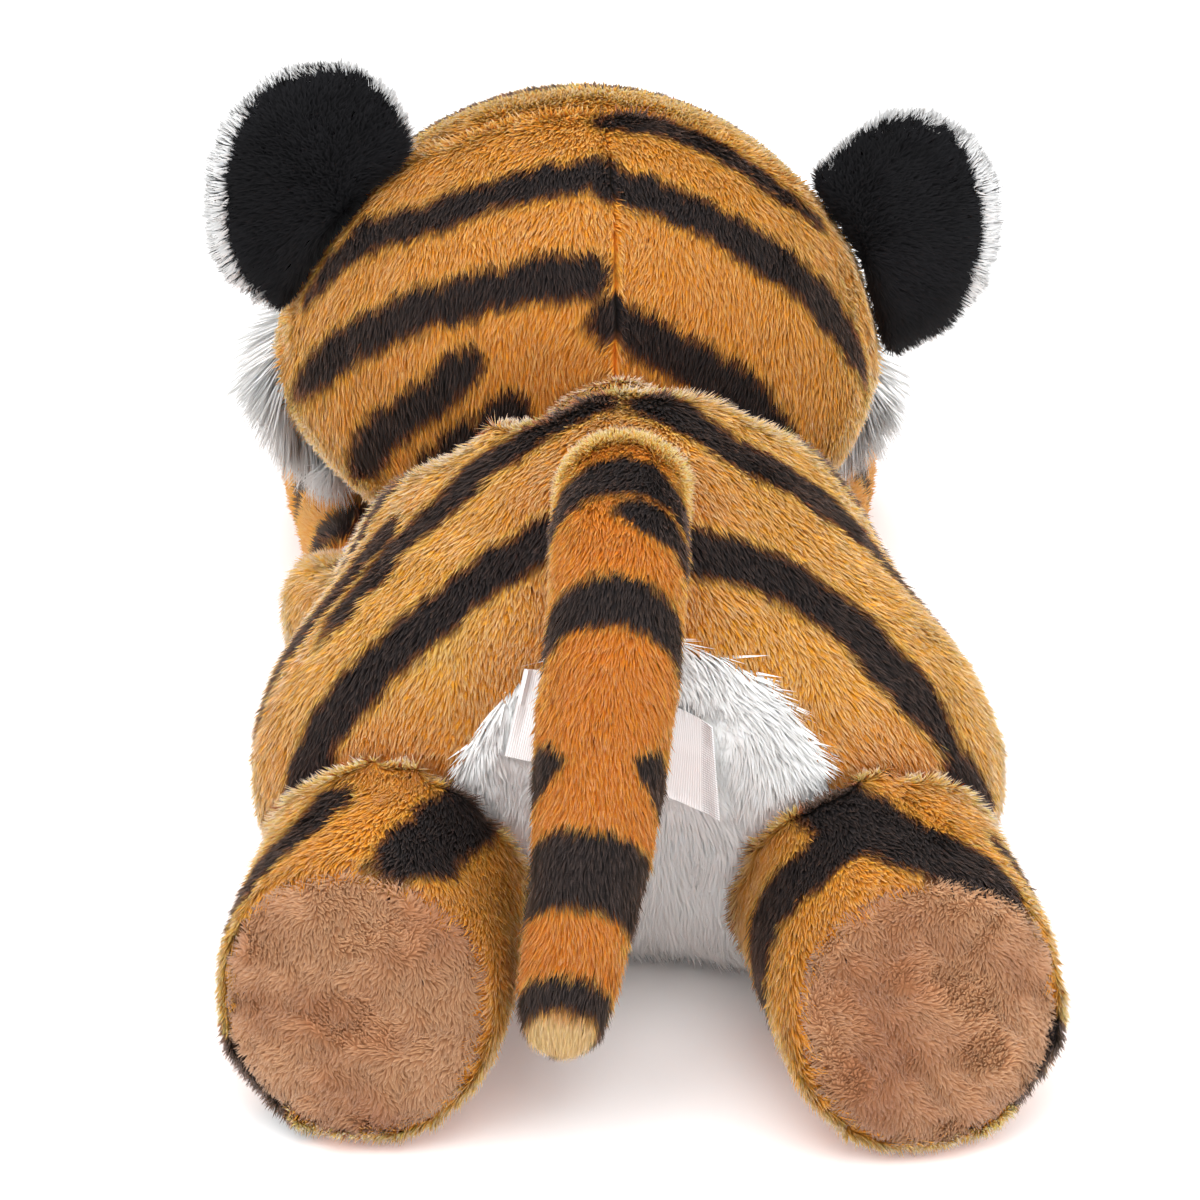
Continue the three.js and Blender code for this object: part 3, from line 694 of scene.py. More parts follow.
def growPile(piece, pile, flow, paint):
    source = np.random.default_rng(1)
    places, ways, used = scatterRoots(piece, pile["spacing"], pile["cuts"], source)
    before = len(places)
    tuft, low = raiseTufts(piece, before)
    roots = pointsOf(piece.data)
    base = roots[before:].copy()
    count = len(base)
    normal = np.zeros((count, 3))
    np.add.at(normal, tuft, ways[low[:, 0]] + ways[low[:, 1]])
    normal = unit(normal)
    space, toSeam = np.ones(count), np.ones(count)
    for least, name in ((space, "room"), (toSeam, "seam")):
        np.minimum.at(least, tuft, readValues(piece.data, name)[low].min(1))
    lay = flow(base, normal)
    lay = unit(lay - normal * (lay * normal).sum(1, keepdims=True))
    turn = waves(base, pile["swirlSize"], 11) * pile["swirl"] + source.normal(0, pile["stray"], count)
    lay = lay * np.cos(turn)[:, None] + np.cross(normal, lay) * np.sin(turn)[:, None]
    lean = pile["lean"] + source.normal(0, pile["leanSpread"], count)
    lean = np.radians(np.clip(lean, 0, tufts["flattest"]))
    length = pile["length"] * (1 + source.uniform(-pile["uneven"], pile["uneven"], count))
    length *= 1 - pile["parting"] * (1 - np.clip(toSeam / pile["partingWidth"], 0, 1))
    length = np.minimum(length, np.maximum(space - tufts["clear"], tufts["least"]) / np.cos(lean))
    tip = base + (normal * np.cos(lean)[:, None] + lay * np.sin(lean)[:, None]) * length[:, None]
    tip = drawTogether(tip, base, pile["lockSize"], pile["lock"])
    tip[:, 2] = np.maximum(tip[:, 2], tufts["overFloor"])
    roots[before:] = tip
    putPoints(piece.data, roots)
    marks = {name: np.zeros(len(roots)) for name in ("tip", "pale", "stripe", "white")}
    for name, value in tufts["bare"].items():
        marks[name][:before][~used] = value
    # The tip mark gives painted shade at the roots and painted highlight at the tips, and pale tufts at random
    # take more painted highlight
    marks["tip"][before:] = 1 - tufts["tipSpread"] * source.uniform(0, 1, count)
    marks["pale"][before:] = pile["pale"] * source.uniform(0, 1, count) ** 2
    for name, painter in (("stripe", paint), ("white", pile.get("white"))):
        if painter:
            marks[name] = painter(np.concatenate([places, base]))
    for name, values in marks.items():
        keepValues(piece.data, name, values)
    piece.data.polygons.foreach_set("use_smooth", np.ones(len(piece.data.polygons), bool))
    soft = piece.data.attributes.new("custom_normal", "FLOAT_VECTOR", "POINT")
    rounded = np.concatenate([ways, normal + 0.6 * lay]) + pile["slopes"] * normalsOf(piece.data)
    soft.data.foreach_set("vector", unit(rounded).astype(np.float32).ravel())
    piece.data.update()


# Stripes, as lines across each part in millimetres with their half width

bodyStripes = [
    (3.0, [(8, 11, 118), (23, 20, 116), (35, 26, 111), (43, 32, 106), (57, 38, 94), (69, 52, 85),
           (75, 62, 72)]),
    (3.8, [(23, 56, 107), (37, 61, 101), (53, 70, 92), (68, 78, 81), (77, 83, 71), (82, 90, 50),
           (80, 88, 30)]),
    (3.0, [(40, -8, 98), (57, 2, 92), (70, 14, 78), (80, 24, 60), (84, 28, 40)]),
    (3.4, [(62, 28, 92), (78, 44, 74), (87, 54, 56), (88, 60, 34)]),
    (3.4, [(60, -30, 70), (66, -22, 56), (70, -16, 40), (68, -10, 20)]),
    (4.0, [(-6, 14, 118), (-23, 25, 113), (-41, 27, 102), (-55, 28, 89), (-64, 36, 74), (-72, 44, 56),
           (-76, 46, 36)]),
    (4.4, [(-14, 61, 106), (-24, 60, 103), (-35, 62, 99), (-48, 69, 92), (-58, 80, 85), (-68, 87, 76),
           (-76, 92, 62)]),
    (3.4, [(-75, 93, 65), (-81, 92, 52), (-84, 88, 36), (-80, 84, 20)]),
    (3.2, [(-30, -6, 100), (-46, 0, 90), (-60, 6, 72), (-68, 10, 52), (-70, 10, 32)]),
    (3.2, [(-52, -30, 70), (-58, -24, 56), (-62, -18, 40), (-62, -12, 20)]),
]
headStripes = [
    (2.8, [(5, -49, 150), (16, -47, 149), (36, -46, 144), (51, -48, 137), (65, -56, 128), (73, -58, 119),
           (80, -62, 106)]),
    (3.4, [(8, -24, 135), (21, -24, 134), (39, -25, 129), (56, -31, 120), (70, -37, 108), (85, -55, 83),
           (86, -62, 74)]),
    (3.0, [(41, -16, 114), (49, -16, 105), (64, -22, 91), (70, -28, 75), (74, -36, 62)]),
    (3.0, [(29, -8, 105), (44, -10, 93), (56, -15, 79)]),
    (2.8, [(2, -69, 154), (-5, -70, 152), (-21, -69, 147), (-41, -65, 135), (-52, -68, 124)]),
    (3.6, [(3, -45, 148), (-7, -44, 146), (-21, -42, 140), (-34, -42, 131), (-45, -44, 122), (-54, -47, 109),
           (-66, -56, 85), (-68, -62, 74)]),
    (3.4, [(4, -17, 126), (-3, -16, 123), (-12, -15, 117), (-29, -17, 105), (-40, -20, 89), (-50, -28, 72)]),
    (2.6, [(15, -99, 148), (30, -99, 144), (46, -97, 137), (60, -92, 128)]),
    (2.6, [(4, -99, 148), (-12, -101, 142), (-28, -98, 134), (-40, -92, 124)]),
    (2.4, [(17, -114, 137), (28, -115, 134), (40, -112, 128), (50, -108, 121)]),
    (2.4, [(6, -114, 137), (-8, -116, 132), (-20, -113, 125), (-30, -109, 117)]),
    (2.0, [(18, -125, 124), (27, -127, 120), (35, -125, 116)]),
    (2.0, [(8, -126, 123), (-2, -129, 119), (-10, -127, 113)]),
    (2.6, [(54, -118, 100), (64, -110, 104), (74, -98, 106), (82, -86, 104)]),
    (2.4, [(58, -112, 86), (70, -104, 88), (82, -92, 88)]),
    (2.6, [(-27, -120, 92), (-39, -112, 96), (-49, -100, 98), (-59, -88, 96)]),
    (2.4, [(-32, -116, 78), (-45, -106, 80), (-57, -94, 80)]),
]


# The stripes' lines in metres, laid on the covers they cross, with twice as many points

def ontoCover(stripes, nodes):
    tree = treeOf(nodes)
    laid = []
    for half, line in stripes:
        line = np.array(line, float) * mm
        spots = np.linspace(0, len(line) - 1, 2 * len(line) - 1)
        fine = np.stack([np.interp(spots, np.arange(len(line)), line[:, axis]) for axis in range(3)], 1)
        laid.append((half * mm, np.array([tree.find_nearest(place)[0] for place in fine])))
    return laid


stripeEdge = 2.8 * mm         # how wide the soft edge of a stripe is
stripeSpread = 2.6 * mm       # how far the pile carries a stripe past its line


# How far inside the nearest stripe each place is: above 0 within it. Each stripe narrows to its far end

stripeForm = {"endWidth": 0.4, "taper": 2.2}


def lineMask(places, stripes):
    best = np.full(len(places), -9.0)
    for half, line in stripes:
        whole = np.linalg.norm(np.diff(line, axis=0), axis=1).sum()
        passed = 0.0
        for start, end in zip(line[:-1], line[1:]):
            along = end - start
            size = np.linalg.norm(along)
            share = np.clip((places - start) @ along / size ** 2, 0, 1)
            away = np.linalg.norm(places - start - share[:, None] * along, axis=1)
            left = (whole - passed - share * size) / whole
            width = (half + stripeSpread) * np.clip(stripeForm["endWidth"] + stripeForm["taper"] * left, 0, 1)
            best = np.maximum(best, (width - away) / stripeEdge)
            passed += size
    return best


# Stripes with a ragged edge, from 0 to 1

def softly(values, places, seed):
    ragged = waves(places, 8 * mm, seed) * 0.22 + waves(places, 2.4 * mm, seed + 50) * 0.22
    return np.clip((values + ragged) * 0.5 + 0.5, 0, 1)


bodyLines = ontoCover(bodyStripes, ["back_panel_left", "back_panel_right"])
headLines = ontoCover(headStripes, ["head_panel_left", "head_panel_right", "forehead_panel"])
eyeSpots = [np.array((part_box("eye_" + side)[0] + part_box("eye_" + side)[1]) / 2) for side in ("left", "right")]


eyeLiner = {"reach": 8.8 * mm, "edge": 1.6 * mm}
brows = {"fromEye": (3, 6, 15), "half": (11, 14, 7.5), "fade": 1.6}


def paintBody(places):
    return softly(lineMask(places, bodyLines), places, 31)


def paintHead(places):
    best = lineMask(places, headLines)
    for spot in eyeSpots:
        away = np.linalg.norm(places - spot, axis=1)
        best = np.maximum(best, (eyeLiner["reach"] - away) / eyeLiner["edge"])
    return softly(best, places, 32)


# White brows over the eyes

def whiteBrows(places):
    best = np.zeros(len(places))
    for side, spot in zip((1, -1), eyeSpots):
        offset = np.array(brows["fromEye"]) * (side, 1, 1) * mm
        away = np.linalg.norm((places - spot - offset) / np.array(brows["half"]) / mm, axis=1)
        best = np.maximum(best, np.clip(brows["fade"] * (1 - away), 0, 1))
    return best


# Lay of the pile: away from the nose on the head, backwards on the body, outwards along each limb

nosePlace = np.array([0.005, -0.135, 0.070])


def bodyFlow(places, normal):
    return places * [5, 0, 0] + [0, 1, -0.35]


def patchFlow(places, normal):
    return places * [6, 0, 0] + [0, 0.5, -1]


def headFlow(places, normal):
    return unit(places - nosePlace) - [0, 0, 0.25]


def cheekFlow(places, normal):
    return unit(places - nosePlace) - [0, 0, 0.9]


def jointPlace(name):
    return np.array(next(one["pos_m"] for one in frame["joints"] if one["name"] == name))


# Along a leg towards its sole, and inwards round the sole on the leg's end

def legFlow(leg):
    low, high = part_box(leg + "_sole")
    middle = np.array((low + high) / 2)
    way = unit(middle - jointPlace(leg + "_swing"))

    def flow(places, normal):
        facing = np.clip(normal @ way, 0, 1)[:, None]
        return way * (1 - facing) + unit(middle - places) * 2 * facing - [0, 0, 0.15]

    return flow


# Tail: its route from the root, which the rings and the lay of the pile follow

tailRoute = np.array([(1, 30, 94), (3, 48, 113), (5, 68, 120), (6, 90, 112), (11, 118, 88), (15, 138, 64),
                      (23, 160, 29)], float) * mm
for _ in range(3):
    starts, ends = tailRoute[:-1], tailRoute[1:]
    corners = np.stack([starts * 0.75 + ends * 0.25, starts * 0.25 + ends * 0.75], 1).reshape(-1, 3)
    tailRoute = np.concatenate([tailRoute[:1], corners, tailRoute[-1:]])


# Its rings: distance from the root, half width, arch, and from where to where round the tail, in degrees

tailRings = [
    (48.5, 3.4, 4, -125, 125),
    (57.0, 2.6, 5, -110, 12),
    (75.5, 4.2, 9, -180, 180),
    (110.0, 4.6, 5, 28, 125),
    (108.0, 4.6, 7, -125, -24),
    (133.0, 7.4, 7, -180, 180),
    (160.4, 2.7, 8, -180, 180),
]
lightEnd = {"from": 163 * mm, "over": 5 * mm}
ringForm = {"spread": 1.3 * mm, "taper": 32, "gap": 3 * mm, "edge": 1.9 * mm}  # the taper is in degrees


# Distance from the tail's root, the way along it, and the angle round it from its outer side

def alongTail(places):
    best = np.full(len(places), 9.0)
    passed = np.zeros(len(places))
    ways = np.zeros_like(places)
    aside = np.zeros_like(places)
    gone = 0.0
    for start, end in zip(tailRoute[:-1], tailRoute[1:]):
        step = end - start
        size = np.linalg.norm(step)
        last = 1.6 if (end == tailRoute[-1]).all() else 1.0
        share = np.clip((places - start) @ step / size ** 2, 0, last)
        offset = places - start - share[:, None] * step
        away = np.linalg.norm(offset, axis=1)
        closer = away < best
        best[closer] = away[closer]
        passed[closer] = (gone + share * size)[closer]
        ways[closer] = step / size
        aside[closer] = offset[closer]
        gone += size
    side = np.array([1.0, 0, 0])
    top = unit(np.cross(side, ways))
    angle = np.degrees(np.arctan2(aside @ side, (aside * top).sum(1)))
    return passed, ways, angle


def tailFlow(places, normal):
    return alongTail(places)[1]


def tailTip(places):
    return np.clip((alongTail(places)[0] - lightEnd["from"]) / lightEnd["over"], 0, 1)


def paintTail(places):
    passed, _, angle = alongTail(places)
    best = np.full(len(places), -9.0)
    for where, half, arch, low, high in tailRings:
        middle = (where + arch * (1 - np.cos(np.radians(angle)))) * mm
        inside = np.minimum(angle - low, high - angle)
        width = half * mm + ringForm["spread"]
        if high - low < 360:
            narrow = inside / ringForm["taper"]
            width = width * np.clip(narrow, 0, 1) - ringForm["gap"] * np.clip(0.25 - narrow, 0, 1)
        best = np.maximum(best, (width - np.abs(passed - middle)) / ringForm["edge"])
    return softly(best, places, 33)


legStripes = {
    "hind_leg_left": [
        (6.2, [(38, 100, 64), (42, 112, 66), (51, 126, 69), (62, 136, 70)]),
        (4.0, [(74, 108, 69), (84, 117, 66), (94, 120, 54), (98, 120, 40), (98, 118, 24)]),
        (5.2, [(84, 140, 4), (92, 142, 8), (100, 138, 16), (103, 132, 26)]),
        (2.6, [(104, 142, 34), (105, 138, 50), (101, 132, 58)]),
        (3.0, [(34, 112, 40), (38, 122, 28), (42, 128, 14)]),
    ],
    "hind_leg_right": [
        (6.4, [(-40, 112, 70), (-57, 131, 72), (-70, 136, 69), (-84, 144, 62), (-94, 144, 50)]),
        (5.2, [(-45, 126, 71), (-36, 131, 66), (-28, 131, 55), (-24, 132, 42), (-24, 136, 28),
               (-28, 138, 14)]),
        (5.4, [(-97, 150, 24), (-94, 152, 12), (-86, 150, 4)]),
        (3.0, [(-84, 118, 60), (-94, 122, 46), (-98, 124, 30)]),
    ],
    "front_leg_left": [
        (2.8, [(48, -56, 32), (56, -58, 42), (68, -58, 44), (80, -56, 36), (86, -54, 22)]),
        (3.0, [(48, -86, 34), (58, -88, 44), (72, -88, 44), (84, -86, 34), (88, -84, 20)]),
        (3.0, [(52, -116, 40), (64, -118, 48), (78, -118, 46), (90, -116, 34)]),
    ],
    "front_leg_right": [
        (2.8, [(-30, -56, 32), (-38, -58, 42), (-50, -58, 44), (-62, -56, 36), (-68, -54, 22)]),
        (3.0, [(-34, -86, 34), (-44, -88, 44), (-58, -88, 44), (-70, -86, 34), (-74, -84, 20)]),
        (3.0, [(-38, -116, 40), (-50, -118, 48), (-64, -118, 46), (-76, -116, 34)]),
    ],
}


def paintLeg(leg):
    lines = ontoCover(legStripes[leg], [leg + "_cover"])
    return lambda places: softly(lineMask(places, lines), places, 34)


def soleFlow(places, normal):
    return np.stack([waves(places, 26 * mm, seed) for seed in (41, 42, 43)], 1) - [0, 0, 0.5]


def earFlow(side):
    root = jointPlace("ear_" + side + "_fold")
    return lambda places, normal: places - root


# Piles: the lengths are in metres and the lean is in degrees from upright; pale is the most painted highlight
# that a tuft takes

shortPile = {"length": 5.0 * mm, "lean": 67, "leanSpread": 6, "uneven": 0.25, "swirl": 0.22,
             "swirlSize": 24 * mm, "stray": 0.16, "lock": 0.2, "lockSize": 1.8 * mm, "pale": 0.65, "cuts": 3,
             "spacing": 1.0 * mm, "parting": 0.2, "partingWidth": 3 * mm, "slopes": 0.7}
facePile = {**shortPile, "white": whiteBrows, "length": 4.2 * mm}
legPile = {**shortPile, "parting": 0.45, "partingWidth": 6 * mm, "pale": 0.4}
neckPile = {**shortPile, "length": 3.0 * mm}
tailPile = {**shortPile, "length": 4.6 * mm, "lean": 68, "pale": 0.3, "white": tailTip}
longPile = {**shortPile, "length": 9.5 * mm, "lean": 67, "swirl": 0.4, "lock": 0.4, "lockSize": 3.0 * mm,
            "stray": 0.22, "pale": 0, "parting": 0.1, "slopes": 1.2}
cheekPile = {**longPile, "length": 22 * mm, "lean": 63, "lock": 0.45, "lockSize": 3.6 * mm, "slopes": 1.9}
muzzlePile = {**shortPile, "length": 5.2 * mm, "lean": 64, "pale": 0, "lock": 0.1, "slopes": 1.4}
solePile = {**shortPile, "length": 2.4 * mm, "lean": 42, "leanSpread": 14, "swirl": 0.9, "swirlSize": 9 * mm,
            "stray": 0.4, "lock": 0.3, "lockSize": 1.6 * mm, "pale": 0, "parting": 0}
blackPile = {**shortPile, "length": 4.2 * mm, "lean": 46, "stray": 0.35, "pale": 0, "parting": 0}
rimPile = {**shortPile, "length": 6.5 * mm, "lean": 55, "stray": 0.3, "pale": 0, "lock": 0.45, "parting": 0,
           "slopes": 1.8}


# The white lining turns over the ear's outer edge and shows from behind

earTrim = {"width": 4.6 * mm, "over": 12 * mm, "elsewhere": 0.3 * mm}


def earWrap(side):
    low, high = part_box("ear_back_" + side)
    outer, reach = (high.x, -1) if side == "left" else (low.x, 1)

    def wrap(places):
        near = np.clip(1 - (places[:, 0] - outer) * reach / earTrim["over"], 0, 1)
        return earTrim["width"] * near - earTrim["elsewhere"]

    return wrap


# The body's edge at the neck stands up a little, as gathered plush does

neckEdge = {"y": 2 * mm, "width": 12 * mm, "foot": 96 * mm, "height": 14 * mm, "rise": 3.2 * mm}


def gatherUp(places):
    near = np.clip(1.4 - np.abs(places[:, 1] - neckEdge["y"]) / neckEdge["width"], 0, 1)
    high = np.clip((places[:, 2] - neckEdge["foot"]) / neckEdge["height"], 0, 1)
    places[:, 2] += neckEdge["rise"] * near * high
    return places


# The pads of the hind feet reach up over the rounded ends

padReach = {"width": 3.8 * mm, "foot": 38 * mm, "over": 20 * mm}


def padWrap(places):
    return padReach["width"] * np.clip((places[:, 2] - padReach["foot"]) / padReach["over"], 0, 1)


# The skin of one stuffed part, cut into its panels

def dress(name, nodes, inner, settings):
    sources = [node[0] for node in nodes] + inner
    skin = skinFrom(name + " skin", sources, settings["voxel"], swell=settings.get("swell", 0))
    if "reshape" in settings:
        putPoints(skin.data, settings["reshape"](pointsOf(skin.data)))
    if "soften" in settings:
        roundOff(skin, settings["soften"])
    tree = neighbours(sources)
    owner, atSeam = shareOut(skin, [node for node, *_ in nodes], settings.get("wrap"))
    sinkSkin(skin, tree, settings["sink"])
    markSkin(skin, tree, atSeam)
    staying = neighbours(sources + settings["leaves"]) if "leaves" in settings else tree
    hidden = hiddenFaces(skin, staying)
    pinned = atSeam | (readValues(skin.data, "room") < clothRun["pinnedRoom"])
    puffUp(skin, pinned, settings["pressure"], settings["cap"])
    places, ways = pointsOf(skin.data), normalsOf(skin.data)
    places[atSeam] -= ways[atSeam] * settings["groove"]
    places[:, 2] = np.maximum(places[:, 2], floorRoom)
    putPoints(skin.data, places)
    for row, (node, cover, backing, pile, flow, paint, slot) in enumerate(nodes):
        called = settings.get("piece", "plush_" + node)
        piece = cutOut(skin, owner, row, called, hidden, settings["thickness"], backing, cover)
        mapPiece(piece)
        growPile(piece, pile, flow, paint)
        if "piece" not in settings:
            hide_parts(node)
        if "bend" in settings:
            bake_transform(piece)
        else:
            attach(piece, settings["body"])
        print(piece.name, len(piece.data.polygons), "faces")
    bpy.data.objects.remove(skin)


# What each panel is covered with: cover, backing, pile, lay, stripes and a slot name

bodyCoat = (striped, orangeBacking, shortPile, bodyFlow, paintBody, "striped_plush")
headCoat = (headStriped, orangeBacking, shortPile, headFlow, paintHead, "striped_plush")
cheekCoat = (whitePlush, whiteBacking, cheekPile, cheekFlow, None, "white_plush")
bodySettings = {"voxel": 4.0 * mm, "sink": 1.8 * mm, "pressure": 3.0, "cap": 2.5 * mm, "groove": 0.6 * mm,
                "thickness": 1.0 * mm, "body": "torso"}
dress("body", [
    ("back_panel_left", *bodyCoat),
    ("back_panel_right", *bodyCoat),
    ("belly_panel", whitePlush, whiteBacking, longPile, patchFlow, None, "white_plush"),
], ["body_filling", "belly_pellet_pouch"],
    {**bodySettings, "voxel": 4.4 * mm, "reshape": gatherUp, "leaves": ["tail_cover", "tail_filling"]})
dress("neck", [
    ("neck_gathering_cord", neckStriped, orangeBacking, neckPile, bodyFlow, None, "striped_plush"),
], [], {**bodySettings, "voxel": 2.4 * mm, "swell": 1.4 * mm, "sink": 0, "body": "neck",
        "piece": "plush_neck_roll", "leaves": ["head_panel_left", "head_panel_right", "head_filling"]})
headSettings = {**bodySettings, "voxel": 4.1 * mm, "body": "head"}
dress("head", [
    ("head_panel_left", *headCoat),
    ("head_panel_right", *headCoat),
    ("forehead_panel", headStriped, orangeBacking, facePile, headFlow, paintHead, "striped_plush"),
    ("cheek_left", *cheekCoat),
    ("cheek_right", *cheekCoat),
    ("chin_panel", whitePlush, whiteBacking, longPile, headFlow, None, "white_plush"),
], ["head_filling"], headSettings)
dress("muzzle", [("muzzle", shortWhite, whiteBacking, muzzlePile, headFlow, None, "white_plush")], [],
      {**headSettings, "voxel": 3.2 * mm, "sink": 1.6 * mm})
for leg in legStripes:
    dress(leg, [
        (leg + "_cover", headStriped, orangeBacking, legPile, legFlow(leg), paintLeg(leg), "striped_plush"),
        (leg + "_sole", tanPlush, whiteBacking, solePile, soleFlow, None, "sole_plush"),
    ], [leg + "_filling", leg + "_pellet_pouch"],
        {**bodySettings, "voxel": 4.0 * mm if "hind" in leg else 4.4 * mm, "sink": 2.0 * mm,
         "groove": 1.2 * mm, "body": leg, "wrap": padWrap if "hind" in leg else None})
tailBend = ((0.002, 0.040, 0.116), (0.012, 0.124, 0.090))  # from the sewn root to where the bend ends
dress("tail", [("tail_cover", tailStriped, orangeBacking, tailPile, tailFlow, paintTail, "striped_plush")],
      ["tail_filling"], {**bodySettings, "voxel": 3.7 * mm, "sink": 2.0 * mm, "body": "tail",
                         "soften": lambda places: places[:, 1] < 50 * mm, "bend": tailBend,
                         "leaves": ["back_panel_left", "back_panel_right", "body_filling", "belly_panel",
                                    "sewn_label"]})
for side in ("left", "right"):
    dress("ear " + side, [
        ("ear_back_" + side, blackPlush, whiteBacking, blackPile, earFlow(side), None, "black_plush"),
        ("ear_lining_" + side, shortWhite, whiteBacking, rimPile, earFlow(side), None, "white_plush"),
    ], [], {**bodySettings, "voxel": 3.0 * mm, "sink": 1.4 * mm, "cap": 1.0 * mm, "thickness": 1.2 * mm,
            "body": "ear_" + side, "wrap": earWrap(side)})


# Inner pieces keep their packed form and get their own finish

def fibreFilling():
    material = newMaterial("polyester fibre", 0.95, sheen=0.3, specular=0.2)
    fibres = texture(material, "ShaderNodeTexNoise", "Fac", Scale=260, Detail=6, Distortion=2.5)
    share = between(material, fibres, 0.35, 0.65)
    asColour(material, mixColours(material, share, (0.74, 0.74, 0.72), (0.93, 0.93, 0.91)))
    return asBump(material, fibres, 0.8, 1 * mm)


def pouchCloth():
    material = newMaterial("pellet pouch cloth", 0.8, specular=0.3)
    pellets = texture(material, "ShaderNodeTexVoronoi", "Distance", Scale=330)
    share = between(material, pellets, 0.2, 0.8)
    asColour(material, mixColours(material, share, (0.90, 0.89, 0.86), (0.72, 0.71, 0.68)))
    return asBump(material, pellets, 0.5, 1 * mm)


def speckled(name, colour, other, roughness, scale, specular=0.5):
    material = newMaterial(name, roughness, specular=specular)
    share = between(material, patches(material, scale, 4), 0.4, 0.65)
    asColour(material, mixColours(material, share, colour, other))
    return asBump(material, patches(material, scale * 6, 2), 0.08, 0.3 * mm)


fibre, pouchWeave = fibreFilling(), pouchCloth()
washerPlastic = speckled("washer plastic", (0.84, 0.84, 0.82), (0.78, 0.78, 0.76), 0.55, 300)
# The cord's dark reddish brown is painted shade of the neck crease that it lies in
cordThread = speckled("brown cord painted as crease shade", (0.26, 0.07, 0.012), (0.14, 0.035, 0.008), 0.8, 900)
for name, node in frame["nodes"].items():
    for ending, material in (("filling", fibre), ("pouch", pouchWeave), ("washer_left", washerPlastic),
                             ("washer_right", washerPlastic), ("cord", cordThread)):
        if name.endswith(ending):
            coat(node, material)


# The tail's filling is made again with enough points, a little slimmer, and like the tail's cover it is tied to
# no body

tailFibre = skinFrom("tail_fibre_core", ["tail_filling"], 3.0 * mm, smoothing=2, swell=-0.4 * mm)
coat(tailFibre, fibre)
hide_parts("tail_filling")
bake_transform(tailFibre)


# Face: plastic eyes, a moulded nose and an embroidered mouth

eyeSizes = {"radius": 6.5 * mm, "rise": 0.66, "cut": 0.62, "rim": 0.5 * mm, "shank": 1.8 * mm,
            "shankLength": 13 * mm, "shankEdge": 0.4 * mm, "overlap": 0.4 * mm, "stemEnd": 1.2 * mm,
            "pupil": (0.66, 0.70), "ring": (0.82, 0.94)}


def eyePlastic(middle, way):
    material = newMaterial("amber eye plastic", 0.07, specular=0.2)
    where = addNode(material, "ShaderNodeTexCoord").outputs["Object"]
    offset = reckon(material, "ShaderNodeVectorMath", "SUBTRACT", where, middle)[0]
    across = reckon(material, "ShaderNodeVectorMath", "CROSS_PRODUCT", offset, way)[0]
    away = reckon(material, "ShaderNodeVectorMath", "LENGTH", across)["Value"]
    pupil, ring = (between(material, away, *(eyeSizes["radius"] * share for share in eyeSizes[part]))
                   for part in ("pupil", "ring"))
    flecks = between(material, patches(material, 900, 4), 0.35, 0.7)
    iris = mixColours(material, flecks, (0.34, 0.12, 0.012), (0.60, 0.28, 0.04))
    iris = mixColours(material, ring, iris, (0.012, 0.006, 0.003))
    return asColour(material, mixColours(material, pupil, (0.004, 0.004, 0.004), iris))


# A domed eye in the place of its node, standing out from the head, with its shank

def addEye(side):
    low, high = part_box("head_filling")
    places = pointsOf(frame["nodes"]["eye_" + side].data)
    away = np.linalg.norm(places - np.array((low + high) / 2), axis=1)
    apex, stem = places[away.argmax()], places[away < away.min() + eyeSizes["stemEnd"]].mean(0)
    way = Vector(apex - stem).normalized()
    flat = Vector(apex) - way * eyeSizes["radius"] * eyeSizes["cut"]
    turned = way.to_track_quat("Z", "Y").to_euler()
    pickNone()
    bpy.ops.mesh.primitive_uv_sphere_add(segments=48, ring_count=32, radius=eyeSizes["radius"], location=flat,
                                         rotation=turned)
    dome = bpy.context.object
    dome.scale = (1, 1, eyeSizes["rise"])
    bpy.ops.object.transform_apply(location=True, rotation=True, scale=True)
    editAll()
    bpy.ops.mesh.bisect(plane_co=flat, plane_no=way, use_fill=True, clear_inner=True)
    leaveEdit()
    applyModifier(dome, "BEVEL", width=eyeSizes["rim"], segments=3, limit_method="ANGLE")
    stemPlace = flat - way * (eyeSizes["shankLength"] / 2 - eyeSizes["overlap"])
    bpy.ops.mesh.primitive_cylinder_add(vertices=24, radius=eyeSizes["shank"], depth=eyeSizes["shankLength"],
                                        location=stemPlace, rotation=turned)
    shank = bpy.context.object
    bpy.ops.object.transform_apply(location=True, rotation=True, scale=True)
    applyModifier(shank, "BEVEL", width=eyeSizes["shankEdge"], segments=2)
    applyModifier(dome, "BOOLEAN", operation="UNION", object=shank, solver="EXACT")
    bpy.data.objects.remove(shank)
    dome.name = "glossy_eye_" + side
    pickOnly(dome)
    bpy.ops.object.shade_smooth_by_angle(angle=0.6)
    coat(dome, eyePlastic(flat, way))
    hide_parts("eye_" + side)
    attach(dome, "head")


# The nose's dents and groove, as shares of its half size and depths

noseForm = {"aside": 0.42, "below": 0.18, "wide": 1.3, "nostril": 0.36, "nostrilDepth": 2.4 * mm,
            "groove": 0.10, "grooveTop": 0.1, "grooveDepth": 0.8 * mm}


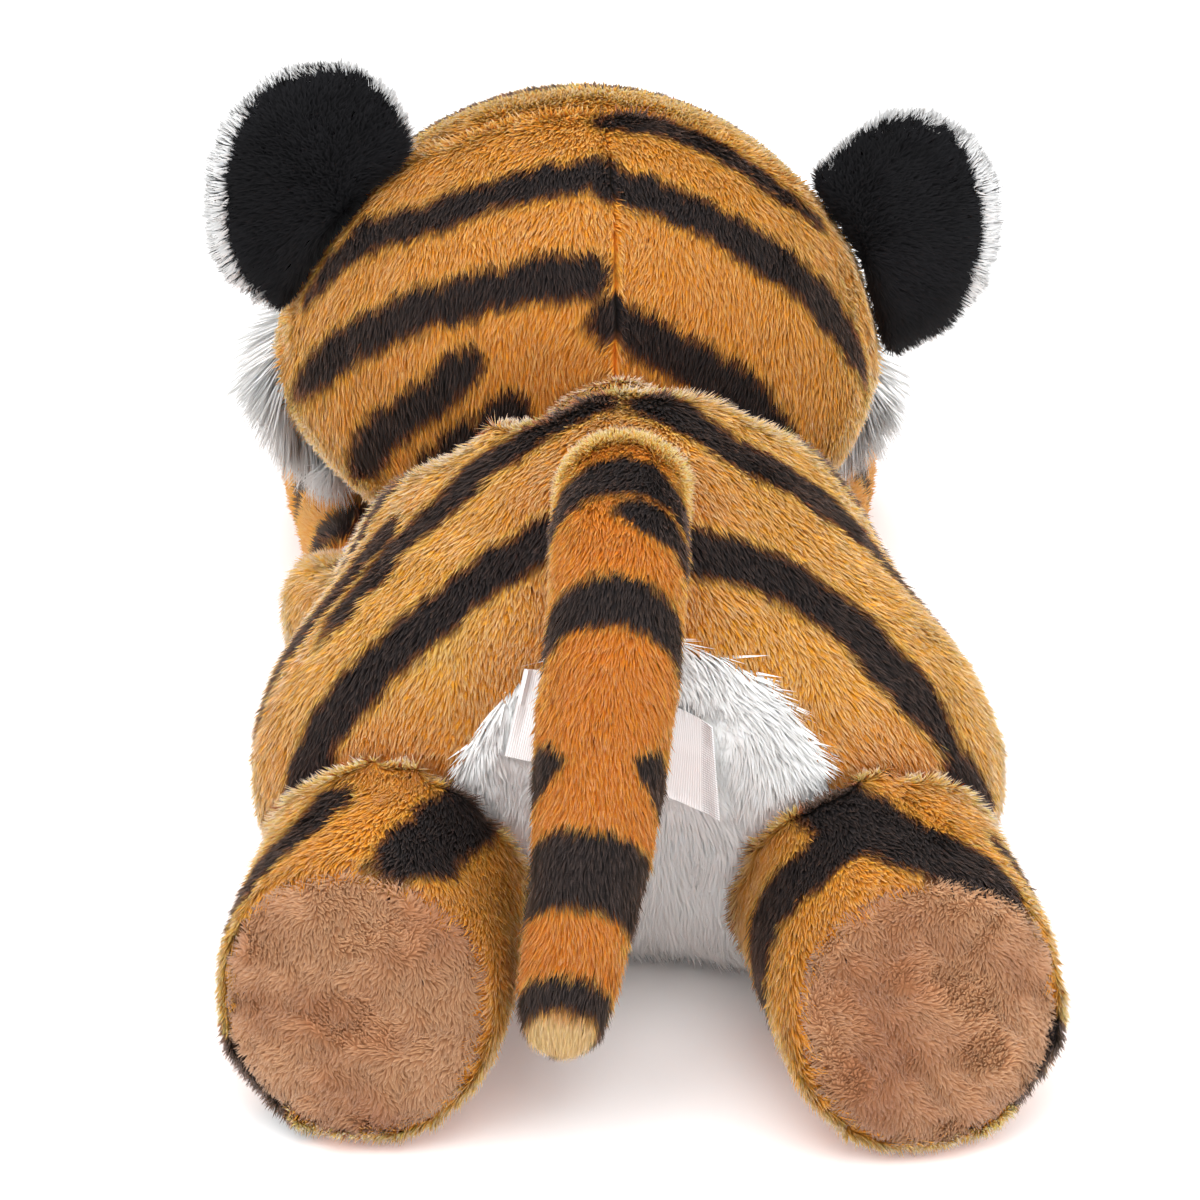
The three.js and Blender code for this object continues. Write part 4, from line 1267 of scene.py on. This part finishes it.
def addNose():
    pickNone()
    nose = skinFrom("moulded_nose", ["nose"], 0.9 * mm, smoothing=10)
    low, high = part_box("nose")
    middle, half = np.array((low + high) / 2), np.array((high - low) / 2)
    places = pointsOf(nose.data)
    spot = (places - middle) / half
    inFront = spot[:, 1] < 0
    for side in (-1, 1):
        rise = (spot[:, 2] + noseForm["below"]) * noseForm["wide"]
        away = np.hypot(spot[:, 0] - side * noseForm["aside"], rise)
        dent = np.clip(1 - away / noseForm["nostril"], 0, 1) ** 2 * inFront
        places[:, 1] += dent * noseForm["nostrilDepth"]
    groove = np.clip(1 - np.abs(spot[:, 0]) / noseForm["groove"], 0, 1)
    groove *= inFront * (spot[:, 2] < noseForm["grooveTop"])
    places[:, 1] += groove * noseForm["grooveDepth"]
    putPoints(nose.data, places)
    pickOnly(nose)
    editAll()
    bpy.ops.mesh.vertices_smooth(factor=0.5, repeat=2)
    leaveEdit()
    bpy.ops.object.shade_smooth()
    coat(nose, speckled("nose plastic", (0.30, 0.10, 0.085), (0.24, 0.075, 0.065), 0.28, 500))
    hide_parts("nose")
    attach(nose, "head")


# Black thread sewn down from the nose and out in two curves, lying on the muzzle's pile

mouthSizes = {"stroke": 7 * mm, "reach": 0.52, "sag": 4.5 * mm, "bow": 0.88, "threadRadius": 0.75 * mm,
              "over": 0.9 * mm, "grain": 0.35 * mm}


def addThread(line):
    curve = bpy.data.curves.new("mouth thread", "CURVE")
    curve.dimensions = "3D"
    curve.bevel_depth = mouthSizes["threadRadius"]
    curve.bevel_resolution = 4
    curve.use_fill_caps = True
    spline = curve.splines.new("POLY")
    spline.points.add(len(line) - 1)
    for point, place in zip(spline.points, line):
        point.co = (*place, 1)
    thread = bpy.data.objects.new("mouth thread", curve)
    scene.collection.objects.link(thread)
    return thread


def addMouth():
    low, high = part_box("muzzle")
    noseLow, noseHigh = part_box("nose")
    centre, under = (noseLow.x + noseHigh.x) / 2, noseLow.z
    reach = (high - low).x / 2 * mouthSizes["reach"]
    tree = treeOf(["muzzle"])

    def onMuzzle(x, z):
        hit = tree.ray_cast(Vector((centre + x, low.y - 0.02, z)), Vector((0, 1, 0)))[0]
        return hit - Vector((0, mouthSizes["over"], 0))

    lines = [[onMuzzle(0, under - share * mouthSizes["stroke"]) for share in np.linspace(0, 1, 6)]]
    for side in (-1, 1):
        lines.append([onMuzzle(side * reach * share, under - mouthSizes["stroke"]
                               - mouthSizes["sag"] * math.sin(share * math.pi * mouthSizes["bow"]))
                      for share in np.linspace(0, 1, 14)])
    pickOnly(*[addThread(line) for line in lines])
    bpy.ops.object.convert(target="MESH")
    bpy.ops.object.join()
    mouth = bpy.context.object
    mouth.name = "mouth_stitching"
    applyModifier(mouth, "REMESH", mode="VOXEL", voxel_size=mouthSizes["grain"])
    bpy.ops.object.shade_smooth()
    coat(mouth, speckled("black embroidery thread", (0.012, 0.011, 0.011), (0.035, 0.03, 0.03), 0.6, 1500))
    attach(mouth, "head")


for side in ("left", "right"):
    addEye(side)
addNose()
addMouth()
print("face made")


# Label: a bare satin tape sewn in under the tail, its cut end hemmed with rows of small stitches

labelSizes = {"width": 49 * mm, "height": 21 * mm, "columns": 49, "rows": 21, "thick": 0.5 * mm,
              "off": 0.6 * mm, "curl": 2.4 * mm, "slant": 0.32, "droop": 3.5 * mm, "ripple": 0.5 * mm,
              "rippleSize": 7 * mm, "laidTo": 0.46, "readFrom": 0.44, "hem": (0.085, 0.075)}


def satin():
    material = newMaterial("bare white satin", 0.34, specular=0.5, sheen=0.2)
    shaderOf(material).inputs["Anisotropic"].default_value = 0.5
    spot = addNode(material, "ShaderNodeUVMap", uv_map="OFBake").outputs["UV"]
    parts = addNode(material, "ShaderNodeSeparateXYZ")
    wire(material, spot, parts.inputs[0])

    def bands(**settings):
        wave = addNode(material, "ShaderNodeTexWave", wave_type="BANDS", **settings)
        wire(material, spot, wave.inputs["Vector"])
        return wave.outputs["Fac"]

    threads = bands(bands_direction="X", Scale=30, Distortion=1.2, Detail=2)
    stitches = between(material, bands(bands_direction="Y", Scale=13, Distortion=0.4), 0.35, 0.65)
    hem = between(material, parts.outputs["X"], *labelSizes["hem"])
    gap = reckon(material, "ShaderNodeMath", "MULTIPLY", hem, stitches)[0]
    shine = between(material, threads, 0.2, 0.8)
    colour = mixColours(material, shine, (0.86, 0.86, 0.86), (0.94, 0.94, 0.94))
    asColour(material, mixColours(material, gap, colour, (0.62, 0.62, 0.63)))
    return asBump(material, reckon(material, "ShaderNodeMath", "SUBTRACT", threads, gap)[0], 0.35, 0.2 * mm)


def addLabel():
    places = pointsOf(frame["nodes"]["sewn_label"].data)
    middle = places.mean(0)
    _, _, axes = np.linalg.svd(places - middle, full_matrices=False)
    side, rise = axes[0] * np.sign(axes[0][0]), axes[1] * np.sign(axes[1][2])
    out = np.cross(side, rise)
    out *= np.sign(out[1])
    tree = treeOf(["sewn_label"])
    pickNone()
    bpy.ops.mesh.primitive_grid_add(size=1, x_subdivisions=labelSizes["columns"],
                                    y_subdivisions=labelSizes["rows"])
    label = bpy.context.object
    label.name = "satin_label"
    spots = pointsOf(label.data)
    cut = np.clip(-spots[:, 0] * 2, 0, 1)
    along, across = spots[:, 0] * labelSizes["width"], spots[:, 1] * labelSizes["height"]
    along += labelSizes["slant"] * across * cut ** 2
    across -= labelSizes["droop"] * cut ** 2
    flat = middle + side * along[:, None] + rise * across[:, None]
    laid = flat.copy()
    for index, place in enumerate(flat):
        hit = tree.ray_cast(Vector(place + out * 0.03), Vector(-out))[0]
        laid[index] = hit if hit else place
    depth = (laid - middle) @ out
    ends = [depth[spots[:, 0] * end > labelSizes["readFrom"]].max() for end in (-1, 1)]
    fromEnds = np.interp(spots[:, 0], [-labelSizes["laidTo"], labelSizes["laidTo"]], ends)
    depth = np.where(np.abs(spots[:, 0]) < labelSizes["laidTo"], depth, fromEnds)
    ripple = labelSizes["ripple"] * np.sin(along / labelSizes["rippleSize"]) * cut
    lift = labelSizes["off"] + labelSizes["curl"] * cut ** 3 + ripple
    putPoints(label.data, flat + out * (depth + lift)[:, None])
    layer = label.data.uv_layers.new(name="OFBake")
    layer.data.foreach_set("uv", (spots[:, :2] * 0.98 + 0.5)[cornersOf(label.data)].ravel())
    facing = np.sign(normalsOf(label.data).mean(0) @ out)
    applyModifier(label, "SOLIDIFY", thickness=labelSizes["thick"], offset=-facing)
    pickOnly(label)
    editAll()
    bpy.ops.mesh.normals_make_consistent(inside=False)
    leaveEdit()
    bpy.ops.object.shade_smooth_by_angle(angle=0.9)
    coat(label, satin())
    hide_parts("sewn_label")
    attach(label, "torso")


addLabel()
print("label made")


# Floor and light

softboxes = {
    "top": {"place": (0.10, 0.30, 0.95), "size": 0.9, "power": 7.4},
    "left side": {"place": (-0.80, 0.40, 0.40), "size": 0.8, "power": 5.4},
    "right side": {"place": (0.80, 0.35, 0.40), "size": 0.8, "power": 4.4},
    "front": {"place": (0.10, -0.95, 0.50), "size": 0.9, "power": 4.2},
}
lampsLookAt = (0, 0.02, 0.05)


# Strength of a light or a colour that the camera, mirrors and glass see, from the Light Path node

def seenStrength(owner, hidden, shown):
    path = addNode(owner, "ShaderNodeLightPath")
    seen = path.outputs["Is Camera Ray"]
    for other in ("Is Glossy Ray", "Is Transmission Ray"):
        seen = reckon(owner, "ShaderNodeMath", "MAXIMUM", seen, path.outputs[other])[0]
    strength = addNode(owner, "ShaderNodeMapRange")
    setInputs(strength, {"To Min": hidden, "To Max": shown})
    wire(owner, seen, strength.inputs["Value"])
    return strength.outputs["Result"]


# The floor glows more with the distance from the toy, so that it turns white towards the picture's edges

def addFloor():
    bpy.ops.mesh.primitive_plane_add(size=60)
    floor = bpy.context.object
    floor.name = "studio_floor"
    material = newMaterial("pale floor", 0.9, specular=0.1)
    setInputs(shaderOf(material), {"Base Color": (0.93, 0.93, 0.93, 1), "Emission Color": (1, 1, 1, 1)})
    where = addNode(material, "ShaderNodeTexCoord").outputs["Object"]
    away = reckon(material, "ShaderNodeVectorMath", "LENGTH", where)["Value"]
    far = between(material, away, 0.15, 1.3, least=0.05, most=0.34)
    shown = reckon(material, "ShaderNodeMath", "MULTIPLY", seenStrength(material, 0, 1), far)[0]
    wire(material, shown, shaderOf(material).inputs["Emission Strength"])
    floor.data.materials.append(material)


def addLight():
    world = bpy.data.worlds.new("studio")
    scene.world = world
    world.use_nodes = True
    background = world.node_tree.nodes["Background"]
    background.inputs["Color"].default_value = (1, 1, 1, 1)
    wire(world, seenStrength(world, 0.92, 1.0), background.inputs["Strength"])
    for name, lamp in softboxes.items():
        bpy.ops.object.light_add(type="AREA", location=lamp["place"])
        light = bpy.context.object
        light.name = name + " softbox"
        light.data.size = lamp["size"]
        light.data.energy = lamp["power"]
        aim = Vector(lampsLookAt) - Vector(lamp["place"])
        light.rotation_euler = aim.to_track_quat("-Z", "Y").to_euler()


addFloor()
addLight()
scene.view_settings.view_transform = "Standard"
print("floor and light made")
